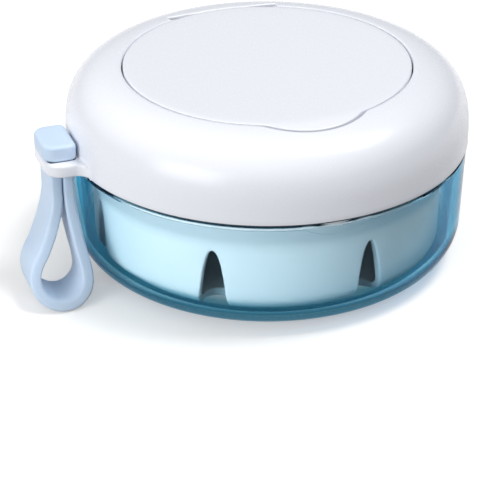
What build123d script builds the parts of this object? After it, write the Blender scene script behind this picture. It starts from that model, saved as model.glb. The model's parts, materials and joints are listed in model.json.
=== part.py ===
from build123d import *

import os
from math import atan, cos, hypot, pi, radians, sin, sqrt, tan

# Round denture case: clear bowl, drain basket, hinged domed lid, flip-up mirror flap and loop strap.
# Millimetres, +Z up. The origin is on the bowl's axis where its flat foot meets the table. The thumb scoop
# faces -Y, the lid's hinge is at +Y and the strap hangs at -X.

# ------------------------------------------------------------------ driving sizes: case
CASE_RADIUS = 52.5          # lid's upright side, the widest round of the case
BOWL_HEIGHT = 31.5          # table to the bowl's rim
PARTING_GAP = 0.5           # dark line between bowl and lid
LID_HEIGHT = 20.0           # lid's lower edge to its flat top

# bowl
RIM_SETBACK = 0.3           # bowl's rim inside the lid's side
WALL_DRAFT = 1.3            # how much the bowl narrows from rim to bottom corner
BOWL_CORNER = 10.9          # rounding under the bowl
BOWL_WALL = 2.4
RIM_WALL = 1.5              # thinner wall above the ledge
LEDGE_DEPTH = 1.8           # rim to the ledge that the basket hangs on
SCOOP_RADIUS = 50.0         # ball that bites the thumb scoop out of the rim
SCOOP_DEPTH = 1.9
SCOOP_ANGLE = 36.0          # tilt of the scoop's face above level, degrees

# basket
FLANGE_CLEARANCE = 0.3      # basket's flange inside the rim
FLANGE_THICKNESS = 1.6
BASKET_SIDE_GAP = 2.7       # basket's side inside the bowl's wall
BASKET_FLOOR_GAP = 0.6      # basket's floor above the bowl's floor
BASKET_WALL = 2.2
BASKET_CORNER = 8.0
FLARE_HEIGHT = 7.0          # flared mouth, from the upright side up to the ledge
FLARE_BEND = 9.0            # rounding where the side turns into the flare
FLARE_CLEARANCE = 0.2       # flare inside the ledge
SLOT_COUNT = 7
SLOT_FIRST_ANGLE = 14.9     # first slot, degrees from the front towards +X
SLOT_CROWN_PULL = 2.2       # roundness of the slot's pointed arch
SLOT_SIDE_PULL = 2.9        # bulge of its sides at half height
SLOT_FOOT_WIDTH = 7.2
SLOT_HEIGHT = 20.4          # table to the slot's arched top
SLOT_FLOOR_BITE = 5.5       # how far a slot's foot reaches into the basket's floor
LIFT_TAB_WIDTH = 15.0
LIFT_TAB_RISE = 3.0         # tab's top above the flange
LIFT_TAB_ROOT = 15.8        # tab's root below the flange's top
LIFT_TAB_THICKNESS = 2.0
LIFT_TAB_SEAT = 0.3         # how far the tab is sunk in the basket's wall
LIFT_TAB_CORNER = 3.4

# lid
LID_WALL = 2.2
LID_SIDE_HEIGHT = 2.7       # upright part of the lid's side
DOME_RUN = 20.0             # from the side to the flat top
DOME_POWER = 2.85           # squareness of the shoulder
LINER_WALL = 1.5
LINER_CLEARANCE = 0.2       # liner inside the lid's wall
RIB_DROP = 0.5              # seal's rib below the lid's edge
RIB_WALL = 1.3
SEAL_BREADTH = 5.0          # from the rib out over the bowl's rim
SEAL_SETBACK = 0.2          # seal's edge inside the bowl's side
SEAL_ROUNDING = 0.15
FIT_GAP = 0.05              # pins, sockets and the seal's seats

# main hinge
KNUCKLE_RADIUS = 2.4
KNUCKLE_STANDOFF = 0.2      # knuckle clear of the lid's side
LID_KNUCKLE_LENGTH = 11.4
BOWL_KNUCKLE_LENGTH = 5.0
KNUCKLE_END_GAP = 0.3
HINGE_PIN_RADIUS = 0.8
GUSSET_DROP = 6.0           # how far the webs run down and up the walls

# mirror flap
FLAP_SETBACK = 15.3         # lid's side to the flap's edge
SEAM_GAP = 0.4
FLAP_THICKNESS = 2.4
FLAP_BEVEL = 0.3
LIP_REACH = 3.3             # thumb lip beyond the flap's edge
LIP_HALF_ANGLE = 19.5
LIP_BLEND = 8.0
LIP_GAP = 0.9               # room in front of the lip for a fingernail
LIP_NAIL_DEPTH = 1.0        # room under the lip
RECESS_DEPTH = 4.6
RECESS_WALL = 1.6
FLAP_AXIS_INSET = 1.8       # flap's edge to its hinge line
TRUNNION_RADIUS = 0.6
TRUNNION_SEAT = 1.6         # trunnion's length in its socket
POCKET_RADIUS = 1.65        # room round the flap's corners as it turns
POCKET_INNER_X = 7.5
POCKET_MARGIN = 4.0         # pocket past the chord's end
MIRROR_MARGIN = 6.2         # flap's edge to the mirror's edge
MIRROR_THICKNESS = 1.3
TAPE_MARGIN = 2.0
TAPE_THICKNESS = 0.3
MIRROR_FRAME_WALL = 1.2
MIRROR_FRAME_GAP = 0.3

# strap
EAR_REACH = 8.7             # beyond the lid's side
EAR_HALF_WIDTH = 9.2
EAR_THICKNESS = 3.5
EAR_CORNER = 5.0
STRAP_STANDOFF = 4.2        # strap's line outside the lid's side
STRAP_WIDTH = 11.5
BAND_THICKNESS = 3.0
LEG_GAP = 0.3               # between the two legs where they are pinched
NECK_CLEARANCE = 0.2
HEAD_GAP = 0.4              # head clear of the lid's side
HEAD_OVERHANG = 0.25        # head past the ear's tip
HEAD_HALF_WIDTH = 6.8
HEAD_HEIGHT = 4.3
HEAD_CORNER = 3.6           # corners away from the lid
HEAD_LID_CORNER = 1.8       # corners beside the lid
HEAD_EDGE = 1.0
STRAP_DROP_GAP = 0.3        # between the ear and the hanging loop
STRAP_FLOOR_GAP = 0.3
STRAP_LEAN = 32.0           # loop leans to the front where it meets the table
STRAP_NECK = 5.0            # straight part of the loop below its bend
LOOP_RADIUS = 8.3
LOOP_WALL_GAP = 0.95        # between the loop and the bowl's side

# ------------------------------------------------------------------ places worked out
LID_EDGE_Z = BOWL_HEIGHT + PARTING_GAP
TOP_Z = LID_EDGE_Z + LID_HEIGHT
SHOULDER_Z = LID_EDGE_Z + LID_SIDE_HEIGHT
RIM_RADIUS = CASE_RADIUS - RIM_SETBACK
FOOT_CORNER_RADIUS = RIM_RADIUS - WALL_DRAFT
RIM_INNER_RADIUS = RIM_RADIUS - RIM_WALL
LEDGE_Z = BOWL_HEIGHT - LEDGE_DEPTH
LEDGE_INNER_RADIUS = RIM_RADIUS - BOWL_WALL - WALL_DRAFT * LEDGE_DEPTH / BOWL_HEIGHT
FLANGE_RADIUS = RIM_INNER_RADIUS - FLANGE_CLEARANCE
BASKET_SIDE_RADIUS = FOOT_CORNER_RADIUS - BOWL_WALL - BASKET_SIDE_GAP
BASKET_FLOOR_Z = BOWL_WALL + BASKET_FLOOR_GAP
FLANGE_TOP_Z = LEDGE_Z + FLANGE_THICKNESS
SEAL_RADIUS = RIM_RADIUS - SEAL_SETBACK
RIB_RADIUS = SEAL_RADIUS - SEAL_BREADTH - FIT_GAP
HINGE_Y = CASE_RADIUS + KNUCKLE_RADIUS + KNUCKLE_STANDOFF
HINGE_Z = BOWL_HEIGHT + PARTING_GAP / 2
FLAP_RADIUS = CASE_RADIUS - FLAP_SETBACK
RECESS_RADIUS = FLAP_RADIUS + SEAM_GAP
FLAP_UNDER_Z = TOP_Z - FLAP_THICKNESS
RECESS_FLOOR_Z = TOP_Z - RECESS_DEPTH
CEILING_Z = RECESS_FLOOR_Z - RECESS_WALL
FLAP_AXIS_Y = FLAP_RADIUS - FLAP_AXIS_INSET
FLAP_AXIS_Z = TOP_Z - FLAP_THICKNESS / 2
CHORD_HALF = sqrt(FLAP_RADIUS ** 2 - FLAP_AXIS_Y ** 2)
POCKET_OUTER_X = CHORD_HALF + POCKET_MARGIN
MIRROR_RADIUS = FLAP_RADIUS - MIRROR_MARGIN
STRAP_OUT = CASE_RADIUS + STRAP_STANDOFF
PINCH_HALF = BAND_THICKNESS + LEG_GAP / 2
STRAP_AXIS_Z = LID_EDGE_Z - STRAP_DROP_GAP - PINCH_HALF
NECK_END_Z = STRAP_AXIS_Z - STRAP_NECK
LOOP_CENTRE_DOWN = (NECK_END_Z - STRAP_FLOOR_GAP) / cos(radians(STRAP_LEAN)) - LOOP_RADIUS
LOOP_CENTRE_Z = STRAP_FLOOR_GAP + LOOP_RADIUS * cos(radians(STRAP_LEAN))
WALL_AT_LOOP = FOOT_CORNER_RADIUS + WALL_DRAFT * LOOP_CENTRE_Z / BOWL_HEIGHT
LOOP_OFFSET = WALL_AT_LOOP + LOOP_WALL_GAP + LOOP_RADIUS - STRAP_OUT

OVERSHOOT = 2.0             # cutters run this far past what they cut
DOME_STEPS = 10


# ------------------------------------------------------------------ shared shapes
def turned(*corners):
    """Solid of revolution about Z from (radius, height, rounding) corners."""
    points = [(radius, height) for radius, height, _ in corners]
    roundings = [rounding for _, _, rounding in corners]
    return revolve(Plane.XZ * make_face(FilletPolyline(*points, radius=roundings, close=True)), Axis.Z)


def disc(radius, low, high):
    """Upright round plate between two heights."""
    return extrude(Pos(0, 0, low) * Circle(radius), high - low)


def bar(radius, middle_x, length, y, z):
    """Round bar along X."""
    place = Plane((middle_x - length / 2, y, z), x_dir=(0, 1, 0), z_dir=(1, 0, 0))
    return extrude(place * Circle(radius), length)


def dome(inset, floor_z, top_z):
    """Solid under the lid's superellipse shoulder, moved in by a wall, from floor_z to top_z."""
    run = DOME_RUN - inset
    rise = top_z - SHOULDER_Z
    flat_radius = CASE_RADIUS - DOME_RUN
    shoulder = []
    for step in range(DOME_STEPS + 1):
        turn = pi / 2 * step / DOME_STEPS
        out = flat_radius + run * max(cos(turn), 0) ** (2 / DOME_POWER)
        shoulder.append((out, SHOULDER_Z + rise * sin(turn) ** (2 / DOME_POWER)))
    edges = [
        Line((0, floor_z), (CASE_RADIUS - inset, floor_z)),
        Line((CASE_RADIUS - inset, floor_z), shoulder[0]),
        Spline(*shoulder, tangents=[(0, 1), (-1, 0)]),
        Line(shoulder[-1], (0, top_z)),
        Line((0, top_z), (0, floor_z)),
    ]
    return revolve(Plane.XZ * make_face(edges), Axis.Z)


def flap_outline(growth, lip_growth):
    """Round outline whose front swells into the thumb lip, grown all round for the recess.

    The big circle and the lip's circle are joined by two hollow arcs that touch both.
    """
    corner_x = FLAP_RADIUS * sin(radians(LIP_HALF_ANGLE))
    corner_y = sqrt(FLAP_RADIUS ** 2 - corner_x ** 2)
    tip = FLAP_RADIUS + LIP_REACH
    lip_y = (tip ** 2 - FLAP_RADIUS ** 2) / (2 * (tip - corner_y))
    round_radius = FLAP_RADIUS + growth
    lip_radius = tip - lip_y + lip_growth
    lip_centre = Vector(0, -lip_y)
    round_reach = round_radius + LIP_BLEND
    lip_reach = lip_radius + LIP_BLEND
    blend_y = (lip_reach ** 2 - round_reach ** 2 - lip_y ** 2) / (2 * lip_y)
    blend = Vector(sqrt(round_reach ** 2 - blend_y ** 2), blend_y)
    on_round = blend * (round_radius / round_reach)
    on_lip = lip_centre + (blend - lip_centre) * (lip_radius / lip_reach)
    hollow = blend + ((on_round - blend) + (on_lip - blend)).normalized() * LIP_BLEND

    def mirrored(point):
        return (-point.X, point.Y)

    return make_face([
        ThreePointArc(on_round, (0, round_radius), mirrored(on_round)),
        ThreePointArc(mirrored(on_round), mirrored(hollow), mirrored(on_lip)),
        ThreePointArc(mirrored(on_lip), (0, -lip_y - lip_radius), on_lip),
        ThreePointArc(on_lip, hollow, on_round),
    ])


# ------------------------------------------------------------------ bowl and basket
def base_bowl():
    """Clear bowl with a ledge for the basket, thumb scoop and two hinge knuckles."""
    inner_corner = BOWL_CORNER - BOWL_WALL
    bowl = turned(
        (0, 0, 0),
        (FOOT_CORNER_RADIUS, 0, BOWL_CORNER),
        (RIM_RADIUS, BOWL_HEIGHT, 0.5),
        (RIM_INNER_RADIUS, BOWL_HEIGHT, 0.3),
        (RIM_INNER_RADIUS, LEDGE_Z, 0),
        (LEDGE_INNER_RADIUS, LEDGE_Z, 0),
        (FOOT_CORNER_RADIUS - BOWL_WALL, BOWL_WALL, inner_corner),
        (0, BOWL_WALL, 0),
    )
    reach = SCOOP_RADIUS - SCOOP_DEPTH
    scoop_y = RIM_RADIUS + reach * cos(radians(SCOOP_ANGLE))
    scoop_z = BOWL_HEIGHT + reach * sin(radians(SCOOP_ANGLE))
    bowl -= Pos(0, -scoop_y, scoop_z) * Sphere(SCOOP_RADIUS)

    knuckle_x = LID_KNUCKLE_LENGTH / 2 + KNUCKLE_END_GAP + BOWL_KNUCKLE_LENGTH / 2
    for side in (-1, 1):
        bowl += knuckle(side * knuckle_x, BOWL_KNUCKLE_LENGTH, BOWL_HEIGHT, -GUSSET_DROP)
    return bowl - bar(HINGE_PIN_RADIUS + FIT_GAP, 0, 4 * knuckle_x, HINGE_Y, HINGE_Z)


def knuckle(middle_x, length, root_z, drop):
    """Hinge barrel with the web that ties it to a wall, running down (drop < 0) or up from root_z."""
    wall_y = RIM_RADIUS - RIM_WALL / 2
    slope = KNUCKLE_RADIUS * cos(pi / 4)
    sense = 1 if drop > 0 else -1
    web = Polyline(
        (wall_y, root_z),
        (HINGE_Y, root_z),
        (HINGE_Y + slope, HINGE_Z + sense * slope),
        (wall_y, root_z + drop),
        close=True,
    )
    place = Plane((middle_x - length / 2, 0, 0), x_dir=(0, 1, 0), z_dir=(1, 0, 0))
    return extrude(place * make_face(web), length) + bar(KNUCKLE_RADIUS, middle_x, length, HINGE_Y, HINGE_Z)


def drain_slot():
    """Cutter for one pointed arch at the front, which runs down through the corner into the floor."""
    crown = (0, SLOT_HEIGHT)
    half_foot = SLOT_FOOT_WIDTH / 2
    arch = [
        Line((-half_foot, 0), (half_foot, 0)),
        Bezier((half_foot, 0), (SLOT_SIDE_PULL, SLOT_HEIGHT / 2), (SLOT_CROWN_PULL, SLOT_HEIGHT), crown),
        Bezier(crown, (-SLOT_CROWN_PULL, SLOT_HEIGHT), (-SLOT_SIDE_PULL, SLOT_HEIGHT / 2), (-half_foot, 0)),
    ]
    inner_end = BASKET_SIDE_RADIUS - SLOT_FLOOR_BITE
    place = Plane((0, -inner_end, 0), x_dir=(1, 0, 0), z_dir=(0, -1, 0))
    cutter = extrude(place * make_face(arch), FLANGE_RADIUS - inner_end)
    return cutter + Pos(0, -inner_end, 0) * disc(half_foot, 0, BASKET_FLOOR_Z + BASKET_CORNER)


def strainer_basket():
    """Drain basket with a flared mouth, hanging flange, seven slots and two lift tabs."""
    inner_radius = BASKET_SIDE_RADIUS - BASKET_WALL
    inner_floor = BASKET_FLOOR_Z + BASKET_WALL
    flare_radius = LEDGE_INNER_RADIUS - FLARE_CLEARANCE
    slope = (flare_radius - BASKET_SIDE_RADIUS) / FLARE_HEIGHT
    inner_flare_z = LEDGE_Z - FLARE_HEIGHT + BASKET_WALL * tan(atan(slope) / 2)
    mouth_radius = inner_radius + (FLANGE_TOP_Z - inner_flare_z) * slope
    basket = turned(
        (0, BASKET_FLOOR_Z, 0),
        (BASKET_SIDE_RADIUS, BASKET_FLOOR_Z, BASKET_CORNER),
        (BASKET_SIDE_RADIUS, LEDGE_Z - FLARE_HEIGHT, FLARE_BEND),
        (flare_radius, LEDGE_Z, 0),
        (FLANGE_RADIUS, LEDGE_Z, 0),
        (FLANGE_RADIUS, FLANGE_TOP_Z, 0.3),
        (mouth_radius, FLANGE_TOP_Z, 0.8),
        (inner_radius, inner_flare_z, FLARE_BEND + BASKET_WALL),
        (inner_radius, inner_floor, BASKET_CORNER - BASKET_WALL),
        (0, inner_floor, 0),
    )
    cutter = drain_slot()
    for index in range(SLOT_COUNT):
        basket -= Rot(0, 0, SLOT_FIRST_ANGLE + index * 360 / SLOT_COUNT) * cutter
    return basket + lift_tabs(inner_radius + LIFT_TAB_SEAT)


def lift_tabs(outer):
    """Two upright finger tabs on the inside of the basket's wall, which rise past its mouth."""
    root_z = FLANGE_TOP_Z - LIFT_TAB_ROOT
    tall = LIFT_TAB_ROOT + LIFT_TAB_RISE
    ring = disc(outer, root_z, root_z + tall)
    ring -= disc(outer - LIFT_TAB_THICKNESS, root_z - OVERSHOOT, root_z + tall + OVERSHOOT)
    window = RectangleRounded(LIFT_TAB_WIDTH, tall, LIFT_TAB_CORNER)
    place = Plane((0, 0, root_z + tall / 2), x_dir=(0, 1, 0), z_dir=(1, 0, 0))
    return ring & extrude(place * window, outer + OVERSHOOT, both=True)


# ------------------------------------------------------------------ lid
def lid_shell():
    """White dome with the flap's recess, the strap ear and the middle knuckle."""
    shell = dome(0, LID_EDGE_Z, TOP_Z) + strap_ear()
    shell += knuckle(0, LID_KNUCKLE_LENGTH, LID_EDGE_Z, GUSSET_DROP)
    housing = disc(RECESS_RADIUS + RECESS_WALL, CEILING_Z, TOP_Z)
    lip_floor = FLAP_UNDER_Z - LIP_NAIL_DEPTH
    lip_housing = flap_outline(SEAM_GAP + RECESS_WALL, LIP_GAP + RECESS_WALL)
    housing += extrude(Pos(0, 0, lip_floor - RECESS_WALL) * lip_housing, TOP_Z - lip_floor + RECESS_WALL)
    void = dome(LID_WALL, LID_EDGE_Z - OVERSHOOT, TOP_Z - LID_WALL) - housing
    shell -= void
    shell -= disc(RECESS_RADIUS, RECESS_FLOOR_Z, TOP_Z + OVERSHOOT)
    recess = Pos(0, 0, lip_floor) * flap_outline(SEAM_GAP, LIP_GAP)
    shell -= extrude(recess, RECESS_DEPTH)

    pocket_length = POCKET_OUTER_X - POCKET_INNER_X
    socket_length = TRUNNION_SEAT + KNUCKLE_END_GAP
    for side in (-1, 1):
        pocket_x = side * (POCKET_INNER_X + pocket_length / 2)
        socket_x = side * (POCKET_OUTER_X + socket_length / 2 - FIT_GAP)
        shell -= flap_pocket(pocket_x, pocket_length)
        shell -= bar(TRUNNION_RADIUS + FIT_GAP, socket_x, socket_length, FLAP_AXIS_Y, FLAP_AXIS_Z)
    return shell - bar(HINGE_PIN_RADIUS + FIT_GAP, 0, 2 * LID_KNUCKLE_LENGTH, HINGE_Y, HINGE_Z)


def flap_pocket(middle_x, length):
    """Room behind the flap's edge as it turns: round below the hinge line, upright above it."""
    round_part = bar(POCKET_RADIUS, middle_x, length, FLAP_AXIS_Y, FLAP_AXIS_Z)
    mouth = Pos(middle_x, FLAP_AXIS_Y, FLAP_AXIS_Z) * Rectangle(length, 2 * POCKET_RADIUS)
    return round_part + extrude(mouth, TOP_Z + OVERSHOOT - FLAP_AXIS_Z)


def strap_ear():
    """Flat ear at -X with the slot that the strap's neck passes through."""
    root = CASE_RADIUS - LID_WALL
    length = CASE_RADIUS + EAR_REACH - root + EAR_CORNER
    middle = -(CASE_RADIUS + EAR_REACH - length / 2)
    plate = Pos(middle, 0, LID_EDGE_Z) * RectangleRounded(length, 2 * EAR_HALF_WIDTH, EAR_CORNER)
    slot = Pos(-STRAP_OUT, 0, LID_EDGE_Z) * Rectangle(
        2 * (PINCH_HALF + NECK_CLEARANCE), STRAP_WIDTH + 2 * NECK_CLEARANCE
    )
    ear = extrude(plate, EAR_THICKNESS)
    ear = chamfer(ear.faces().sort_by(Axis.Z)[-1].edges(), 0.4)
    return ear - extrude(slot, EAR_THICKNESS)


def lid_liner():
    """Inner cover under the recess, with a lip turned in at its mouth and the rib that holds the seal."""
    inset = LID_WALL + LINER_CLEARANCE
    liner = dome(inset, LID_EDGE_Z, CEILING_Z)
    liner -= dome(inset + LINER_WALL, LID_EDGE_Z - OVERSHOOT, CEILING_Z - LINER_WALL)
    lip = disc(CASE_RADIUS - inset, LID_EDGE_Z, LID_EDGE_Z + LINER_WALL)
    lip += disc(RIB_RADIUS, LID_EDGE_Z - RIB_DROP, LID_EDGE_Z)
    return liner + (lip - disc(RIB_RADIUS - RIB_WALL, LID_EDGE_Z - OVERSHOOT, LID_EDGE_Z + OVERSHOOT))


def seal_ring():
    """Soft flat ring round the rib, between the lid's edge and the bowl's rim."""
    low = BOWL_HEIGHT + FIT_GAP
    high = LID_EDGE_Z - FIT_GAP
    inner = RIB_RADIUS + FIT_GAP
    return turned(
        (inner, low, 0),
        (SEAL_RADIUS, low, SEAL_ROUNDING),
        (SEAL_RADIUS, high, SEAL_ROUNDING),
        (inner, high, 0),
    )


def main_hinge_pin():
    """Steel pin through the lid's and the bowl's knuckles."""
    length = LID_KNUCKLE_LENGTH + 2 * (KNUCKLE_END_GAP + BOWL_KNUCKLE_LENGTH)
    return bar(HINGE_PIN_RADIUS, 0, length, HINGE_Y, HINGE_Z)


# ------------------------------------------------------------------ mirror flap
def mirror_flap():
    """Flush flap that follows the dome, with thumb lip, mirror frame and two trunnions."""
    plate = extrude(Pos(0, 0, FLAP_UNDER_Z) * flap_outline(0, 0), FLAP_THICKNESS + OVERSHOOT)
    plate = plate & dome(0, LID_EDGE_Z, TOP_Z)
    plate = chamfer(top_rim(plate), FLAP_BEVEL)
    frame_inner = MIRROR_RADIUS + MIRROR_FRAME_GAP
    frame_low = FLAP_UNDER_Z - MIRROR_THICKNESS
    frame = disc(frame_inner + MIRROR_FRAME_WALL, frame_low, FLAP_UNDER_Z)
    plate += frame - disc(frame_inner, frame_low - OVERSHOOT, FLAP_UNDER_Z)
    root = 2 * TRUNNION_RADIUS
    length = POCKET_OUTER_X + TRUNNION_SEAT - CHORD_HALF + root
    middle = CHORD_HALF - root + length / 2
    for side in (-1, 1):
        plate += bar(TRUNNION_RADIUS, side * middle, length, FLAP_AXIS_Y, FLAP_AXIS_Z)
    return plate


def top_rim(plate):
    """Edges round the top of the flap's plate, out at its rim."""
    half_height = (FLAP_UNDER_Z + TOP_Z) / 2
    rim = []
    for edge in plate.edges():
        middle = edge @ 0.5
        if middle.Z > half_height and hypot(middle.X, middle.Y) > FLAP_RADIUS - SEAM_GAP:
            rim.append(edge)
    return rim


def mirror_tape():
    """Adhesive disc between flap and mirror."""
    return disc(MIRROR_RADIUS - TAPE_MARGIN, FLAP_UNDER_Z - TAPE_THICKNESS, FLAP_UNDER_Z)


def mirror():
    """Round glass mirror stuck under the flap."""
    top = FLAP_UNDER_Z - TAPE_THICKNESS
    return disc(MIRROR_RADIUS, top - MIRROR_THICKNESS, top)


# ------------------------------------------------------------------ strap
def strap_button():
    """Strap's head on the ear, with the neck that fills the slot."""
    inner = CASE_RADIUS + HEAD_GAP
    outer = CASE_RADIUS + EAR_REACH + HEAD_OVERHANG
    seat_z = LID_EDGE_Z + EAR_THICKNESS
    corners = [
        (-outer, -HEAD_HALF_WIDTH),
        (-inner, -HEAD_HALF_WIDTH),
        (-inner, HEAD_HALF_WIDTH),
        (-outer, HEAD_HALF_WIDTH),
    ]
    roundings = [HEAD_CORNER, HEAD_LID_CORNER, HEAD_LID_CORNER, HEAD_CORNER]
    outline = make_face(FilletPolyline(*corners, radius=roundings, close=True))
    head = extrude(Pos(0, 0, seat_z) * outline, HEAD_HEIGHT)
    head = fillet(head.faces().sort_by(Axis.Z)[-1].edges(), HEAD_EDGE)
    neck = extrude(Pos(-STRAP_OUT, 0, LID_EDGE_Z) * Rectangle(2 * PINCH_HALF, STRAP_WIDTH), EAR_THICKNESS)
    return head + neck


def strap_loop():
    """Teardrop loop of flat band below a straight neck; it leans to the front down to the table."""
    bend = Plane((-STRAP_OUT, 0, STRAP_AXIS_Z), x_dir=(1, 0, 0), z_dir=(0, -1, 0))
    neck = Circle(PINCH_HALF) + Pos(0, -STRAP_NECK / 2) * Rectangle(2 * PINCH_HALF, STRAP_NECK)
    loop = extrude(bend * neck, STRAP_WIDTH / 2, both=True)

    lean = radians(STRAP_LEAN)
    place = Plane((-STRAP_OUT, 0, NECK_END_Z), x_dir=(1, 0, 0), z_dir=(0, -cos(lean), sin(lean)))
    band = teardrop(PINCH_HALF, LOOP_RADIUS) - teardrop(LEG_GAP / 2, LOOP_RADIUS - BAND_THICKNESS)
    return loop + Pos(0, -STRAP_WIDTH / 2, 0) * extrude(place * band, STRAP_WIDTH, dir=(0, 1, 0))


def teardrop(top_half, bottom_radius):
    """Outline that widens from a level top edge down to the loop's round bottom."""
    top = Line((-top_half, 0), (top_half, 0))
    bottom = Pos(-LOOP_OFFSET, -LOOP_CENTRE_DOWN) * Circle(bottom_radius)
    return make_hull(top.edges() + bottom.edges())


PIECES = {
    "base_bowl": base_bowl,
    "strainer_basket": strainer_basket,
    "main_hinge_pin": main_hinge_pin,
    "lid_shell": lid_shell,
    "lid_liner": lid_liner,
    "seal_ring": seal_ring,
    "mirror_flap": mirror_flap,
    "mirror": mirror,
    "mirror_tape": mirror_tape,
    "strap_button": strap_button,
    "strap_loop": strap_loop,
}

os.makedirs("parts", exist_ok=True)
for name, make in PIECES.items():
    export_step(make(), os.path.join("parts", name + ".step"))
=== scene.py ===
"""Round denture case: the looks of the clear bowl, drain basket, domed lid, mirror flap and loop strap.

Laid out as an add-on: each piece has its settings, an operator that makes it, and a row in the panel.
Lengths in the code are millimetres of the case and become metres when a mesh is written.
"""

import json
import math
from functools import partial

import bmesh
import bpy
from mathutils import Euler, Matrix, Vector


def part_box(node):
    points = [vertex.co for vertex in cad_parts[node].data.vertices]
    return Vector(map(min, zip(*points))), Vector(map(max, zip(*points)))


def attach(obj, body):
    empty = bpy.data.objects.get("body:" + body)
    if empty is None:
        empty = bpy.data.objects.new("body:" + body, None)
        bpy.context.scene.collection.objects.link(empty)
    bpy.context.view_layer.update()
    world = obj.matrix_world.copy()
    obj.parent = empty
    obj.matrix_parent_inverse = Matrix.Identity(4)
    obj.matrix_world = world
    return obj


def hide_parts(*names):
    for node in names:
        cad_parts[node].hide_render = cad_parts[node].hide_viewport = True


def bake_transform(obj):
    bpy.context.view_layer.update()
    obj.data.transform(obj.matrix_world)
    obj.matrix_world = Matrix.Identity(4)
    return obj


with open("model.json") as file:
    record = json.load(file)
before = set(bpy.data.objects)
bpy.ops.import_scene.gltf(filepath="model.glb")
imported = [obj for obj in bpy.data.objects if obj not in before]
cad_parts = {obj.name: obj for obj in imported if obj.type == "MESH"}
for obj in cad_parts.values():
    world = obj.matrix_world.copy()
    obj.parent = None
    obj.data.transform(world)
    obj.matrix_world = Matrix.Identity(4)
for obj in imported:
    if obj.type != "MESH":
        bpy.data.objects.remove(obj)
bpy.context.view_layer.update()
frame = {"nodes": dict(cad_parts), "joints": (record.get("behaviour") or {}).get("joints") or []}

bl_info = {
    "name": "Round denture case",
    "version": (1, 0, 0),
    "blender": (4, 5, 0),
    "location": "View3D > Sidebar > Case",
    "description": "Makes a round denture case with its bowl, basket, lid, mirror flap and strap",
    "category": "Add Mesh",
}

MM = 0.001
QUARTER_TURN = math.pi / 2
FULL_TURN = 2 * math.pi
SHARP_ANGLE = math.radians(32)

# Where the bowl's plastic is tinted, with a darker foot that is partly painted shade and a rim painted
# near-black as shade: each pair runs from no tint to full tint, places in metres.
EDGE_TINT_SLANT = (0.42, 0.76)
# The foot's tint is partly the plastic's deeper colour where it curves under and partly painted shade of the
# shadowed floor seen through it.
FOOT_TINT_AND_SHADE_HEIGHTS = (0.0079, 0.0067)
FOOT_TINT_AND_SHADE_RADII = (0.034, 0.040)
# Painted shade: near-black painted on the rim's top and upper wall, standing for the shadow in the gap under
# the lid's edge.
RIM_TOP_SHADE_HEIGHTS = (0.0311, 0.0313)
RIM_TOP_SHADE_RADII = (0.0525, 0.0523)
RIM_WALL_SHADE_HEIGHTS = (0.0303, 0.0306)
RIM_WALL_SHADE_RADII = (0.0513, 0.0510)

# Lamps as (name, place, width and depth, watts), and the surroundings' bright and dark sides.
LAMPS = (
    ("key_softbox", (-1.55, -0.80, 0.48), (1.2, 0.9), 16.0),
    ("top_softbox", (0.6, -0.1, 1.4), (0.55, 0.55), 14.3),
)
LAMP_TARGET = (0, 0, 0.02)
KEY_SIDE = (-0.75, -0.30, 0.60)
KEY_SIDE_SPAN = (-0.6, 0.9)
FAR_SIDE_SHADE = (0.01, 0.02, 0.04)

# Knuckles of the lid's hinge, in millimetres; the bowl has one pair of ends on each side.
KNUCKLE_RADIUS = 2.4
BOWL_KNUCKLE_ENDS = (6.0, 11.0)
LID_KNUCKLE_ENDS = (-5.7, 5.7)
WEB_HEIGHT = 6.0
KNUCKLE_BEVEL = 0.2

# Sizes that two pieces share, in millimetres: the floor between the recess and the liner, the rounded
# edges of dome and flap along their seam, and the gap between the strap's legs in the ear.
RECESS_FLOOR = 1.6
SEAM_EDGE = 0.35
LEG_GAP = 0.3


def frame_mm(node, corner, axis):
    """One coordinate of a node's lowest (0) or highest (1) corner, in millimetres."""
    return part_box(node)[corner][axis] / MM


LID_EDGE_Z = 32.0
LID_TOP_Z = frame_mm("mirror_flap", 1, 2)
MIRROR_FRAME_Z = frame_mm("mirror_flap", 0, 2)
LID_RADIUS = frame_mm("lid_shell", 1, 0)
JOINTS = {joint["name"]: joint for joint in frame["joints"]}


def joint_mm(name, axis):
    """One coordinate of a joint's line, in millimetres."""
    return JOINTS[name]["pos_m"][axis] / MM


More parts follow.
